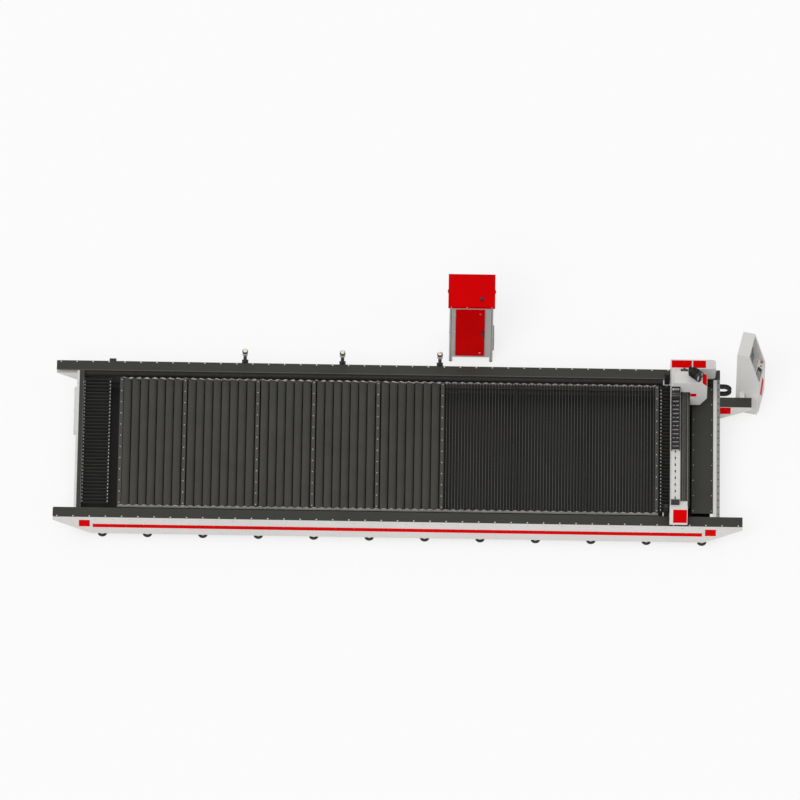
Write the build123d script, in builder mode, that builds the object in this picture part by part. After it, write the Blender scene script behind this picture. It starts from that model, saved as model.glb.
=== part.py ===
"""Large flatbed fiber laser cutting machine with gantry, slat bed, console and cabinet.

Millimetres. The long rail beams run along X, the gantry spans Y and +Z is up.
The origin is at floor level, under the middle of the whole installation.
"""
import os
from math import atan2, cos, hypot, pi, radians, sin, tan

from build123d import *

os.makedirs("parts", exist_ok=True)

# Driving dimensions of the whole machine
BEAM_LENGTH = 13050.0
MACHINE_WIDTH = 3660.0
CONSOLE_REACH = 420.0
CABINET_GAP = 588.0
CABINET_DEPTH = 735.0

# Rail beams and their covers
BEAM_WIDTH = 215.0
BEAM_BOTTOM = 130.0
BEAM_DECK = 540.0
BEAM_TOP = 646.0
BEAM_TAPER = 720.0
BEAM_WALL = 12.0
COVER_WIDTH = 225.0
COVER_SHEET = 4.0
COVER_LIP = 22.0
COVER_CORNER = 30.0
STRIPE_HEIGHT = 105.0
STRIPE_BOTTOM = 325.0
STRIPE_START = 760.0
SQUARE_SIZE = 205.0
SQUARE_BOTTOM = 345.0
SQUARE_START = 500.0
TRIM_SHEET = 2.0

# Levelling feet
FOOT_COUNT = 12
FOOT_FIRST = 940.0
FOOT_SECOND = 1793.0
FOOT_LAST = 12290.0
FOOT_DEPTH = 100.0
FOOT_RADIUS = 90.0
FOOT_SIDES = 12
FOOT_PAD = 38.0
STUD_RADIUS = 26.0

# Linear guides and racks
RAIL_WIDTH = 45.0
RAIL_HEIGHT = 38.0
RAIL_WAIST = 6.0
RAIL_DEPTH = 97.0
RAIL_INSET = 160.0
BLOCK_WIDTH = 100.0
BLOCK_LENGTH = 140.0
BLOCK_RISE = 18.0
BLOCK_LIFT = 12.0
BLOCK_SPREAD = 90.0
GUIDE_CLEARANCE = 0.5
RACK_WIDTH = 30.0
RACK_HEIGHT = 40.0
RACK_TOP = 535.0
PINION_RADIUS = 38.0
PINION_TEETH = 18
TOOTH_ROOT_SHARE = 0.84
TOOTH_TURN_SHARES = (-0.13, 0.13, 0.3, 0.7)
PINION_HEIGHT = 34.0
PINION_SHAFT = 15.0
MESH_CLEARANCE = 0.4

# Bed: walls, ties, partitions and combs
END_OVERHANG = 395.0
RIGHT_OVERHANG = 434.0
WALL_FLANGE = 125.0
WALL_SHEET = 5.0
WALL_BOTTOM = 160.0
WALL_TOP = 640.0
WALL_LIP = 50.0
WALL_LEDGE = 50.0
BED_MARGIN = 338.0
COMB_SHEET = 8.0
COMB_BOTTOM = 430.0
TIE_WIDTH = 50.0
TIE_BOTTOM = 150.0
TIE_HEIGHT = 80.0
PARTITION_SHEET = 10.0
WINDOW_COUNT = 3
WINDOW_WIDTH = 820.0
WINDOW_HEIGHT = 190.0
FLOOR_SHEET = 4.0
FLOOR_GAP = 3.0
SLAT_TOP = 600.0

# Bed: louvre zone, slat zone and end grates
BAR_WIDTH = 66.0
BAR_HEIGHT = 12.0
MODULE_LOUVRES = (7, 8, 6, 7, 7)
LOUVRE_PITCH = 160.0
LOUVRE_WIDTH = 150.0
LOUVRE_SHEET = 5.0
LOUVRE_TILT = 20.0
MODULE_GAP = 104.0
SLAT_PITCH = 57.8
SLAT_COUNT = 69
SLAT_GROUP = 23
SLAT_SHEET = 4.0
SLAT_DEPTH = 70.0
NOTCH_ROOM = 3.0
TOOTH_DROP = 2.0
GRATE_GAP = 8.0
GRATE_LENGTH = 513.0
GRATE_BARS = 37
GRATE_SHEET = 6.0
GRATE_DEPTH = 60.0
TABLE_GAP = 171.0
END_GRATE_GAP = 30.0
DECK_PLATE_START = 12084.0
DECK_PLATE_SHEET = 6.0
DECK_PLATE_FOLD = 40.0

# Fittings on the bed
SERVICE_BOX_START = 2070.0
SERVICE_BOX_LENGTH = 990.0
SERVICE_BOX_REACH = 45.0
SERVICE_BOX_BOTTOM = 250.0
SERVICE_BOX_TOP = 610.0
SERVICE_BOX_CUT = 170.0
COUPLING_FIRST = 3578.0
COUPLING_PITCH = 1853.0
COUPLING_COUNT = 3
COUPLING_OFFSET = 90.0
COUPLING_BASE = 520.0
COUPLING_NECK = 23.0
COUPLING_NECK_TOP = 800.0
COUPLING_CAP = 56.0
COUPLING_GRIPS = 12
COUPLING_CAP_TOP = 930.0
COUPLING_CHAMFER = 10.0
BRACKET_SHEET = 40.0
BRACKET_WIDTH = 120.0
SWITCH_START = 1000.0
SWITCH_LENGTH = 130.0
SWITCH_REACH = 60.0
SWITCH_HEIGHT = 70.0
TROUGH_WIDTH = 85.0
TROUGH_WALL = 18.0
TROUGH_SHEET = 4.0
CHAIN_ROOM = 8.0
ARM_START = 2800.0
ARM_LENGTH = 600.0
ARM_ROOT_BOTTOM = 272.0
ARM_TIP_BOTTOM = 560.0

# Gantry
GANTRY_CENTER = 11835.0
BRIDGE_WIDTH = 330.0
BRIDGE_BOTTOM = 740.0
BRIDGE_TOP = 1000.0
BRIDGE_CHAMFER = 60.0
BRIDGE_FRONT = 145.0
BRIDGE_REAR = 3515.0
FOOT_PLATE_REACH = 300.0
FOOT_PLATE_SHEET = 20.0
FOOT_PLATE_START = 50.0
FOOT_PLATE_END = 334.0
PEDESTAL_START = 231.0
PEDESTAL_SHEET = 30.0
PEDESTAL_BACK = 16.0
X_DRIVE_OFFSET = 230.0
DRIVE_SIZE = 98.0
GEARBOX_HEIGHT = 95.0
MOTOR_RADIUS = 44.0
MOTOR_HEIGHT = 200.0
CAP_SHEET = 4.0
CAP_BOTTOM = 690.0
CAP_FRONT = 2.0
CAP_SLOPE_BOTTOM = 735.0
CAP_SLOPE_DEPTH = 140.0
CAP_BACK = 229.0
CAP_PANEL_WIDTH = 262.0
CAP_PANEL_OFFSET = 28.0
CAP_PANEL_EDGE = 12.0
REAR_CAP_START = 3430.0
REAR_CAP_END = 3645.0
REAR_CAP_RIGHT = 12530.0
REAR_CAP_CORNER = 60.0
REAR_PANEL_MARGIN = 22.0
REAR_PANEL_SPLIT = 12084.0
REAR_PANEL_END = 12340.0
GUIDE_START = 330.0
GUIDE_END = 3424.0
TOP_GUIDE_OFFSET = 95.0
SIDE_GUIDE_HEIGHT = 780.0
Y_RACK_HEIGHT = 30.0
Y_RACK_BOTTOM = 900.0
TRAY_LEFT = 11675.0
TRAY_WIDTH = 185.0
TRAY_SHEET = 2.0
TRAY_WALL = 30.0
TRAY_SLOTS = 20
TRAY_SLOT_LENGTH = 60.0
TRAY_SLOT_WIDTH = 26.0
END_STOP_LENGTH = 90.0
END_STOP_HEIGHT = 60.0

# Energy chains
CHAIN_HEIGHT = 70.0
CHAIN_SIDE = 14.0
CHAIN_PITCH = 95.0
CHAIN_BAR = 34.0
CHAIN_BAR_SHEET = 8.0
CHAIN_NOTCH = 10.0
Y_CHAIN_WIDTH = 160.0
Y_CHAIN_START = 1500.0
Y_CHAIN_LINKS = 13
Y_BEND_RADIUS = 110.0
Y_BEND_FLOAT = 8.0
CHAIN_BRACKET_SHEET = 6.0
X_CHAIN_WIDTH = 70.0
X_CHAIN_HEIGHT = 60.0
X_CHAIN_GAP = 26.0
X_CHAIN_RADIUS = 115.0
X_CHAIN_LINKS = 8
BEND_LINKS = 6
X_BRACKET_OFFSET = 65.0
X_BRACKET_SHEET = 35.0

# Carriage and cutting head
CARRIAGE_START = 2832.0
CARRIAGE_LENGTH = 252.0
CARRIAGE_SHEET = 24.0
CARRIAGE_BOTTOM = 720.0
CARRIAGE_PAD = 20.0
CARRIAGE_BLOCK = 110.0
HOUSING_LEFT = 11734.0
HOUSING_RIGHT = 12361.0
HOUSING_STEP = 14.0
HOUSING_FRONT = 2811.0
HOUSING_DEPTH = 282.0
HOUSING_TOP = 1380.0
HOUSING_BOTTOM = 690.0
HOUSING_SHEET = 4.0
HOUSING_BEVEL_WIDTH = 130.0
HOUSING_BEVEL_HEIGHT = 220.0
SHOULDER_WIDTH = 100.0
SHOULDER_HEIGHT = 110.0
SHOULDER_MARGIN = 12.0
TRIM_WIDTH = 116.0
TRIM_HEIGHT = 90.0
TRIM_DROP = 50.0
HEAD_POSITION = 2905.0
Y_PINION_RADIUS = 30.0
Y_PINION_TEETH = 16
Y_PINION_LENGTH = 26.0
Y_MOTOR_LENGTH = 190.0
Y_DRIVE_POSITION = 3034.0
Z_RAIL_WIDTH = 20.0
Z_RAIL_HEIGHT = 18.0
Z_RAIL_SPREAD = 46.0
Z_RAIL_BOTTOM = 745.0
Z_RAIL_TOP = 1050.0
Z_SCREW_RADIUS = 8.0
Z_SCREW_BOTTOM = 760.0
Z_SHELF_BOTTOM = 1124.0
Z_SHELF_SHEET = 16.0
Z_MOTOR_HEIGHT = 130.0
Z_MOTOR_SIZE = 62.0
Z_PLATE_BOTTOM = 800.0
Z_PLATE_TOP = 1000.0
Z_PLATE_WALL = 14.0
SLIDE_GAP = 4.0
HEAD_SLIDE_WIDTH = 144.0
HEAD_SIZE = 116.0
HEAD_CORNER = 14.0
FOCUS_BOTTOM = 800.0
COLLIMATOR_BOTTOM = 935.0
COLLIMATOR_TOP = 1060.0
COLLIMATOR_SHARE = 0.82
RECEIVER_RADIUS = 28.0
RECEIVER_TOP = 1150.0
SENSOR_RADIUS = 45.0
SENSOR_BOTTOM = 722.0
NOZZLE_RADIUS = 30.0
NOZZLE_GRIPS = 24
NOZZLE_TIP_RADIUS = 6.0
NOZZLE_TIP = 662.0
ORIFICE_RADIUS = 1.5
LAMP_RADIUS = 105.0
LAMP_LENGTH = 250.0
LAMP_YAW = -40.0
LAMP_X = 12125.0
LAMP_Y = 2952.0
LAMP_GAP = 18.0
YOKE_SHEET = 10.0
YOKE_WIDTH = 70.0

# Operator console
CONSOLE_YAW = 12.0
CONSOLE_WIDTH = 560.0
CONSOLE_DEPTH = 446.0
CONSOLE_HEIGHT = 1804.0
CONSOLE_ROOF = 228.0
CONSOLE_WAIST = 304.0
CONSOLE_WAIST_HEIGHT = 1090.0
CONSOLE_DESK_HEIGHT = 963.0
CONSOLE_Y = 3187.0
PLINTH_HEIGHT = 80.0
PLINTH_INSET = 30.0
CHEEK_SHEET = 34.0
RECESS_ROOF = 140.0
RECESS_FOOT = 200.0
RECESS_SILL = 1100.0
BEZEL_SHEET = 26.0
BEZEL_MARGIN = 20.0
SCREEN_MARGIN = 32.0
SCREEN_SHEET = 6.0
PANEL_SHEET = 20.0
PANEL_MARGIN = 20.0
KEYBOARD_OFFSET = 85.0
START_OFFSET = 110.0
STOP_OFFSET = 200.0
KEYBOARD_WIDTH = 290.0
KEYBOARD_DEPTH = 104.0
KEYBOARD_SHEET = 10.0
BUTTON_RADIUS = 15.0
BUTTON_HEAD = 12.0
MUSHROOM_RADIUS = 24.0
STEM_RADIUS = 7.0
STEM_LENGTH = 11.0
BUTTON_GAP = 6.0
BORE_CLEARANCE = 0.5
DIAMOND_HEIGHT = 600.0
DIAMOND_WIDTH = 330.0
DIAMOND_CENTER = 540.0
DUCT_START = 12990.0
DUCT_WIDTH = 90.0
DUCT_BOTTOM = 590.0
DUCT_HEIGHT = 50.0
SEAT_CLEARANCE = 0.4

# Control cabinet
CABINET_X = 7458.0
CABINET_WIDTH = 826.0
CABINET_HEIGHT = 1810.0
CABINET_FLOOR = 150.0
POST_SIZE = 60.0
CABINET_FOOT = 22.0
CABINET_FOOT_RADIUS = 34.0
PANEL_SKIN = 3.0
PANEL_INSET = 20.0
DOOR_START = 118.0
DOOR_WIDTH = 545.0
DOOR_BOTTOM = 225.0
DOOR_TOP = 1676.0
DOOR_SHEET = 26.0
DOOR_GAP = 4.0
STILE_SHEET = 20.0
HINGE_RADIUS = 9.0
HINGE_LENGTH = 90.0
HINGE_LEAF = 34.0
HINGE_INSET_SHARE = 0.12
HANDLE_HEIGHT = 150.0
HANDLE_WIDTH = 26.0
HANDLE_REACH = 34.0
HANDLE_BAR = 12.0
HOOD_OVERHANG = 32.0
HOOD_SHEET = 3.0
HOOD_SKIRT = 62.0
HOOD_CAP_RADIUS = 38.0
HOOD_CAP_HEIGHT = 26.0
HOOD_CAP_X = 8064.0
HOOD_CAP_DEPTH = 140.0
SOURCE_WIDTH = 520.0
SOURCE_DEPTH = 460.0
SOURCE_HEIGHT = 300.0
SOURCE_GAP = 40.0
SOURCE_COUNT = 3
SHELF_SHEET = 4.0
COOLER_WIDTH = 260.0
COOLER_HEIGHT = 460.0
COOLER_DEPTH = 42.0
COOLER_BOTTOM = 250.0
COOLER_START = 90.0
CUT_OVERRUN = 20.0

# Places worked out from the driving dimensions
X_LEFT = -(BEAM_LENGTH + CONSOLE_REACH) / 2
X_TIP = X_LEFT + BEAM_LENGTH
Y_FRONT = -(MACHINE_WIDTH + CABINET_GAP + CABINET_DEPTH) / 2
Y_REAR = Y_FRONT + MACHINE_WIDTH
COVER_TOP = BEAM_TOP + COVER_SHEET
LEFT_WALL = X_LEFT + END_OVERHANG
RIGHT_WALL = X_TIP - RIGHT_OVERHANG
TIE_TOP = TIE_BOTTOM + TIE_HEIGHT
BAR_BOTTOM = SLAT_TOP - BAR_HEIGHT
BED_Y0 = Y_FRONT + BED_MARGIN
BED_Y1 = Y_REAR - BED_MARGIN - COMB_SHEET
FRAME_Y0 = BED_Y0 + COMB_SHEET
FRAME_Y1 = BED_Y1 - COMB_SHEET
SIDES = {"front": (Y_FRONT, 1), "rear": (Y_REAR, -1)}

GRATE_X0 = LEFT_WALL + WALL_FLANGE + GRATE_GAP
TABLE_X0 = GRATE_X0 + GRATE_LENGTH + TABLE_GAP
LOUVRE_X0 = TABLE_X0 + BAR_WIDTH
MODULE_STARTS = [
    LOUVRE_X0 + sum(MODULE_LOUVRES[:module]) * LOUVRE_PITCH + module * MODULE_GAP
    for module in range(len(MODULE_LOUVRES) + 1)
]
SLAT_X0 = MODULE_STARTS[-1]
SLAT_X1 = SLAT_X0 + SLAT_COUNT * SLAT_PITCH
TABLE_X1 = SLAT_X1 + BAR_WIDTH
RIGHT_GRATE_X0 = TABLE_X1 + END_GRATE_GAP
DECK_X0 = X_LEFT + DECK_PLATE_START
GANTRY_X = X_LEFT + GANTRY_CENTER
BRIDGE_X0 = GANTRY_X - BRIDGE_WIDTH / 2
BRIDGE_X1 = GANTRY_X + BRIDGE_WIDTH / 2
BLOCK_TOP = BEAM_DECK + RAIL_HEIGHT + BLOCK_RISE
FOOT_PLATE_TOP = BLOCK_TOP + FOOT_PLATE_SHEET
CAP_TOP = BRIDGE_TOP + CAP_SHEET
X_BRACKET = GANTRY_X + X_BRACKET_OFFSET
X_CHAIN_Y = Y_REAR - BEAM_WIDTH - RACK_WIDTH - TROUGH_WIDTH / 2
X_CHAIN_LOWER = TIE_TOP + TROUGH_SHEET + X_CHAIN_GAP + X_CHAIN_HEIGHT / 2
X_CHAIN_UPPER = X_CHAIN_LOWER + 2 * X_CHAIN_RADIUS
CAB_X0 = X_LEFT + CABINET_X
CAB_X1 = CAB_X0 + CABINET_WIDTH
CAB_Y0 = Y_REAR + CABINET_GAP
CAB_Y1 = CAB_Y0 + CABINET_DEPTH - HOOD_OVERHANG
HOOD_TOP = CABINET_HEIGHT + HOOD_SHEET
YAW = radians(CONSOLE_YAW)
CONSOLE_OUT = Vector(cos(YAW), -sin(YAW), 0)
CONSOLE_ACROSS = Vector(sin(YAW), cos(YAW), 0)
CONSOLE_X = X_TIP + CONSOLE_REACH - CONSOLE_DEPTH * cos(YAW) - CONSOLE_WIDTH * sin(YAW)


def side_plane(y):
    """Upright plane across Y, with X to the right and Z up."""
    return Plane.XZ.offset(-y)


def end_plane(x):
    """Upright plane across X, with Y to the right and Z up."""
    return Plane.YZ.offset(x)


def inward(side, depth):
    """Y of a place so far in from the outer face of the front or rear beam."""
    outer, direction = SIDES[side]
    return outer + direction * depth


def bed_y(distance):
    """Y of a place measured back from the outer face of the front beam."""
    return Y_FRONT + distance


def bed_x(distance):
    """X of a place measured from the left tips of the beams."""
    return X_LEFT + distance


def slab(x_span, y_span, z_span, mode=Mode.ADD):
    """Add or cut a square-edged piece between two limits on each axis."""
    spans = (sorted(x_span), sorted(y_span), sorted(z_span))
    with Locations(tuple((low + high) / 2 for low, high in spans)):
        Box(*(high - low for low, high in spans), mode=mode)


def profile(points):
    """Fill the closed outline through the points in the active sketch."""
    Polygon(*points, align=None)


def guide_outline():
    """Section of a guide rail, as places across it and heights above its seat."""
    half = RAIL_WIDTH / 2
    neck = half - RAIL_WAIST
    side = [(half, 0), (neck, RAIL_HEIGHT / 2), (half, RAIL_HEIGHT - RAIL_WAIST), (neck, RAIL_HEIGHT)]
    return [*side, *((-across, up) for across, up in reversed(side))]


def block_outline():
    """Section of a bearing block that straddles a guide rail with clearance."""
    half = BLOCK_WIDTH / 2
    slot = RAIL_WIDTH / 2 + GUIDE_CLEARANCE
    roof = RAIL_HEIGHT + GUIDE_CLEARANCE
    side = [(slot, roof), (slot, BLOCK_LIFT), (half, BLOCK_LIFT), (half, RAIL_HEIGHT + BLOCK_RISE)]
    return [*side, *((-across, up) for across, up in reversed(side))]


def gear_outline(radius, teeth):
    """Outline of a straight-toothed wheel whose tips reach a radius."""
    root = radius * TOOTH_ROOT_SHARE
    places = zip(TOOTH_TURN_SHARES, (radius, radius, root, root))
    steps = [(2 * pi * share / teeth, reach) for share, reach in places]
    starts = [2 * pi * tooth / teeth for tooth in range(teeth)]
    corners = [(start + step, reach) for start in starts for step, reach in steps]
    return [(reach * cos(turn), reach * sin(turn)) for turn, reach in corners]


def console_point(out, across, height):
    """Point of the console from its own depth, width and height."""
    corner = Vector(CONSOLE_X, bed_y(CONSOLE_Y), height)
    return corner + CONSOLE_OUT * out + CONSOLE_ACROSS * across


def console_face(out, height, out_share, up_share):
    """Plane across the console's middle that faces outward and upward by shares."""
    facing = CONSOLE_OUT * out_share + Vector(0, 0, up_share)
    return Plane(console_point(out, CONSOLE_WIDTH / 2, height), x_dir=CONSOLE_ACROSS, z_dir=facing)


def console_face_y(x):
    """Y of the console's near cheek at a place along X."""
    return bed_y(CONSOLE_Y) - (x - CONSOLE_X) * tan(YAW)


def keep(builder, name):
    """Label a finished piece and write it as one STEP file."""
    builder.part.label = name
    export_step(builder.part, f"parts/{name}.step")


# Rail beams: tapered tips, a deck for the guide and an upstand for the cover
BEAM_ENDS = {"front": X_TIP, "rear": RIGHT_WALL}
for side in SIDES:
    beam_end = BEAM_ENDS[side]
    end_taper = BEAM_TAPER if side == "front" else 0
    with BuildPart() as rail_beam:
        with BuildSketch(side_plane(inward(side, 0))):
            profile(
                [
                    (X_LEFT, BEAM_TOP),
                    (beam_end, BEAM_TOP),
                    (beam_end, BEAM_DECK),
                    (beam_end - end_taper, BEAM_BOTTOM),
                    (X_LEFT + BEAM_TAPER, BEAM_BOTTOM),
                    (X_LEFT, BEAM_DECK),
                ]
            )
        extrude(amount=-SIDES[side][1] * BEAM_WIDTH)
        slab(
            (X_LEFT - CUT_OVERRUN, beam_end + CUT_OVERRUN),
            (inward(side, BEAM_WALL), inward(side, BEAM_WIDTH + CUT_OVERRUN)),
            (BEAM_DECK, BEAM_TOP + CUT_OVERRUN),
            mode=Mode.SUBTRACT,
        )
    keep(rail_beam, f"{side}_rail_beam")

# Short arm on the right wall and the cable duct from it to the console
arm_y = bed_y(ARM_START)
arm_tip = RIGHT_WALL + ARM_LENGTH
with BuildPart() as rear_arm:
    with BuildSketch(side_plane(arm_y)):
        profile(
            [
                (RIGHT_WALL, BEAM_TOP),
                (arm_tip, BEAM_TOP),
                (arm_tip, ARM_TIP_BOTTOM),
                (RIGHT_WALL, ARM_ROOT_BOTTOM),
            ]
        )
    extrude(amount=-COVER_WIDTH)
    duct_x0 = bed_x(DUCT_START)
    duct_x1 = duct_x0 + DUCT_WIDTH
    with BuildSketch(Plane.XY.offset(DUCT_BOTTOM)):
        profile(
            [
                (duct_x0, arm_y + COVER_WIDTH),
                (duct_x1, arm_y + COVER_WIDTH),
                (duct_x1, console_face_y(duct_x1) - SEAT_CLEARANCE),
                (duct_x0, console_face_y(duct_x0) - SEAT_CLEARANCE),
            ]
        )
    extrude(amount=DUCT_HEIGHT)
keep(rear_arm, "rear_arm")

# Folded covers over the guides, and the plain one on the arm
with BuildPart() as rail_covers:
    for side in SIDES:
        slab(
            (X_LEFT, BEAM_ENDS[side]),
            (inward(side, 0), inward(side, COVER_WIDTH)),
            (BEAM_TOP, COVER_TOP),
        )
    slab((RIGHT_WALL, arm_tip), (arm_y, arm_y + COVER_WIDTH), (BEAM_TOP, COVER_TOP))
    fillet(rail_covers.edges().filter_by(Axis.Z).group_by(Axis.X)[0], radius=COVER_CORNER)
    for side in SIDES:
        slab(
            (LEFT_WALL + WALL_FLANGE + FLOOR_GAP, RIGHT_WALL - WALL_FLANGE - FLOOR_GAP),
            (inward(side, COVER_WIDTH - COVER_SHEET), inward(side, COVER_WIDTH)),
            (BEAM_TOP - COVER_LIP, BEAM_TOP),
        )
keep(rail_covers, "rail_covers")

# Guide rails on the decks and racks on the inner faces of the beams
with BuildPart() as x_guideways:
    for side in SIDES:
        with BuildSketch(end_plane(X_LEFT + RAIL_INSET)):
            profile([(inward(side, RAIL_DEPTH) + a, BEAM_DECK + u) for a, u in guide_outline()])
        extrude(amount=BEAM_ENDS[side] - X_LEFT - 2 * RAIL_INSET)
        slab(
            (LEFT_WALL + WALL_FLANGE, RIGHT_WALL - WALL_FLANGE),
            (inward(side, BEAM_WIDTH), inward(side, BEAM_WIDTH + RACK_WIDTH)),
            (RACK_TOP - RACK_HEIGHT, RACK_TOP),
        )
keep(x_guideways, "x_guideways")

# Red band and squares on the front beam and the arm, and the console's diamond
with BuildPart() as red_trim:
    slab(
        (bed_x(STRIPE_START), X_TIP - STRIPE_START),
        (Y_FRONT - TRIM_SHEET, Y_FRONT),
        (STRIPE_BOTTOM, STRIPE_BOTTOM + STRIPE_HEIGHT),
    )
    for square_x in (bed_x(SQUARE_START), X_TIP - SQUARE_START - SQUARE_SIZE):
        slab(
            (square_x, square_x + SQUARE_SIZE),
            (Y_FRONT - TRIM_SHEET, Y_FRONT),
            (SQUARE_BOTTOM, SQUARE_BOTTOM + SQUARE_SIZE),
        )
    slab(
        (RIGHT_WALL, RIGHT_WALL + SQUARE_SIZE),
        (arm_y - TRIM_SHEET, arm_y),
        (BEAM_TOP - SQUARE_SIZE - BEAM_WALL, BEAM_TOP - BEAM_WALL),
    )
    diamond_origin = console_point(CONSOLE_DEPTH, CONSOLE_WIDTH / 2, DIAMOND_CENTER)
    with BuildSketch(Plane(diamond_origin, x_dir=CONSOLE_ACROSS, z_dir=CONSOLE_OUT)):
        profile(
            [
                (0, DIAMOND_HEIGHT / 2),
                (DIAMOND_WIDTH / 2, 0),
                (0, -DIAMOND_HEIGHT / 2),
                (-DIAMOND_WIDTH / 2, 0),
            ]
        )
    extrude(amount=TRIM_SHEET)
keep(red_trim, "red_trim")

# Round levelling feet under both beams and under the cabinet posts
foot_pitch = (FOOT_LAST - FOOT_SECOND) / (FOOT_COUNT - 2)
foot_places = [FOOT_FIRST, *(FOOT_SECOND + index * foot_pitch for index in range(FOOT_COUNT - 1))]
with BuildPart() as levelling_feet:
    for side in SIDES:
        for foot_place in foot_places:
            foot = (bed_x(foot_place), inward(side, FOOT_DEPTH))
            with BuildSketch(Plane((*foot, 0))):
                RegularPolygon(FOOT_RADIUS, FOOT_SIDES)
            extrude(amount=FOOT_PAD)
            with BuildSketch(Plane((*foot, FOOT_PAD))):
                RegularPolygon(STUD_RADIUS, 6)
            extrude(amount=BEAM_BOTTOM - FOOT_PAD)
    for post_x in (CAB_X0 + POST_SIZE / 2, CAB_X1 - POST_SIZE / 2):
        for post_y in (CAB_Y0 + POST_SIZE / 2, CAB_Y1 - POST_SIZE / 2):
            with BuildSketch(Plane((post_x, post_y, 0))):
                RegularPolygon(CABINET_FOOT_RADIUS, FOOT_SIDES)
            extrude(amount=CABINET_FOOT)
keep(levelling_feet, "levelling_feet")

# Folded end walls between the beams, with the service box on the left one
wall_y = (Y_FRONT + BEAM_WIDTH, Y_REAR - BEAM_WIDTH)
lip_bottom = WALL_TOP - WALL_LIP
ledge_top = lip_bottom - DECK_PLATE_SHEET
ledge_bottom = ledge_top - WALL_SHEET
with BuildPart() as left_end_wall:
    flange_end = LEFT_WALL + WALL_FLANGE
    slab((LEFT_WALL, LEFT_WALL + WALL_SHEET), wall_y, (WALL_BOTTOM, WALL_TOP))
    slab((LEFT_WALL, flange_end), wall_y, (WALL_TOP - WALL_SHEET, WALL_TOP))
    slab((flange_end - WALL_SHEET, flange_end), wall_y, (lip_bottom, WALL_TOP))
    box_y0 = bed_y(SERVICE_BOX_START)
    box_y1 = box_y0 + SERVICE_BOX_LENGTH
    with BuildSketch(end_plane(LEFT_WALL - SERVICE_BOX_REACH)):
        profile(
            [
                (box_y0, SERVICE_BOX_TOP),
                (box_y1, SERVICE_BOX_TOP),
                (box_y1, SERVICE_BOX_BOTTOM),
                (box_y0 + SERVICE_BOX_CUT, SERVICE_BOX_BOTTOM),
                (box_y0, SERVICE_BOX_BOTTOM + SERVICE_BOX_CUT),
            ]
        )
    extrude(amount=SERVICE_BOX_REACH)
keep(left_end_wall, "left_end_wall")

with BuildPart() as right_end_wall:
    flange_end = RIGHT_WALL - WALL_FLANGE
    slab((RIGHT_WALL - WALL_SHEET, RIGHT_WALL), wall_y, (WALL_BOTTOM, WALL_TOP))
    slab((flange_end, RIGHT_WALL), wall_y, (WALL_TOP - WALL_SHEET, WALL_TOP))
    slab((flange_end, flange_end + WALL_SHEET), wall_y, (ledge_bottom, WALL_TOP))
    slab((flange_end - WALL_LEDGE, flange_end), (FRAME_Y0, FRAME_Y1), (ledge_bottom, ledge_top))
    slab(
        (flange_end, RIGHT_WALL),
        (BED_Y1 + CHAIN_ROOM, wall_y[1]),
        (TIE_TOP, WALL_TOP - WALL_SHEET),
        mode=Mode.SUBTRACT,
    )
keep(right_end_wall, "right_end_wall")

# Cross ties under the bed, one below every upright plate
module_stations = [module_end - MODULE_GAP / 2 for module_end in MODULE_STARTS[1:]]
group_stations = [
    SLAT_X0 + index * SLAT_GROUP * SLAT_PITCH for index in range(1, (SLAT_COUNT - 1) // SLAT_GROUP + 1)
]
bar_stations = [TABLE_X0 + BAR_WIDTH / 2, *module_stations, TABLE_X1 - BAR_WIDTH / 2]
partition_stations = [*bar_stations, *group_stations]
bearer_station = DECK_X0 + TIE_WIDTH / 2
comb_stations = [
    grate_x + comb_offset
    for grate_x in (GRATE_X0, RIGHT_GRATE_X0)
    for comb_offset in (COMB_SHEET / 2, GRATE_LENGTH - COMB_SHEET / 2)
]
stations = sorted([*partition_stations, *comb_stations, bearer_station])
with BuildPart() as cross_ties:
    for station in stations:
        slab((station - TIE_WIDTH / 2, station + TIE_WIDTH / 2), wall_y, (TIE_BOTTOM, TIE_TOP))
keep(cross_ties, "cross_ties")

# Upright partitions with suction windows, and the bearer of the deck plate
with BuildPart() as zone_partitions:
    middle_y = (FRAME_Y0 + FRAME_Y1) / 2
    window_pitch = (FRAME_Y1 - FRAME_Y0) / WINDOW_COUNT
    for station in partition_stations:
        with BuildSketch(end_plane(station - PARTITION_SHEET / 2)):
            with Locations((middle_y, (TIE_TOP + BAR_BOTTOM) / 2)):
                Rectangle(FRAME_Y1 - FRAME_Y0, BAR_BOTTOM - TIE_TOP)
                with GridLocations(window_pitch, 0, WINDOW_COUNT, 1):
                    Rectangle(WINDOW_WIDTH, WINDOW_HEIGHT, mode=Mode.SUBTRACT)
        extrude(amount=PARTITION_SHEET)
    slab(
        (bearer_station - PARTITION_SHEET / 2, bearer_station + PARTITION_SHEET / 2),
        (FRAME_Y0, FRAME_Y1),
        (TIE_TOP, ledge_top),
    )
keep(zone_partitions, "zone_partitions")

# Bolted bars on top of the partitions
with BuildPart() as joint_bars:
    for station in bar_stations:
        slab((station - BAR_WIDTH / 2, station + BAR_WIDTH / 2), (BED_Y0, BED_Y1), (BAR_BOTTOM, SLAT_TOP))
keep(joint_bars, "joint_bars")

# Slag floor sheets that lie on the ties
with BuildPart() as slag_floor:
    reach = PARTITION_SHEET / 2 + FLOOR_GAP
    for left, right in zip(stations, stations[1:]):
        if right - left > TIE_WIDTH + 2 * reach:
            slab((left + reach, right - reach), (FRAME_Y0, FRAME_Y1), (TIE_TOP, TIE_TOP + FLOOR_SHEET))
keep(slag_floor, "slag_floor")

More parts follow.
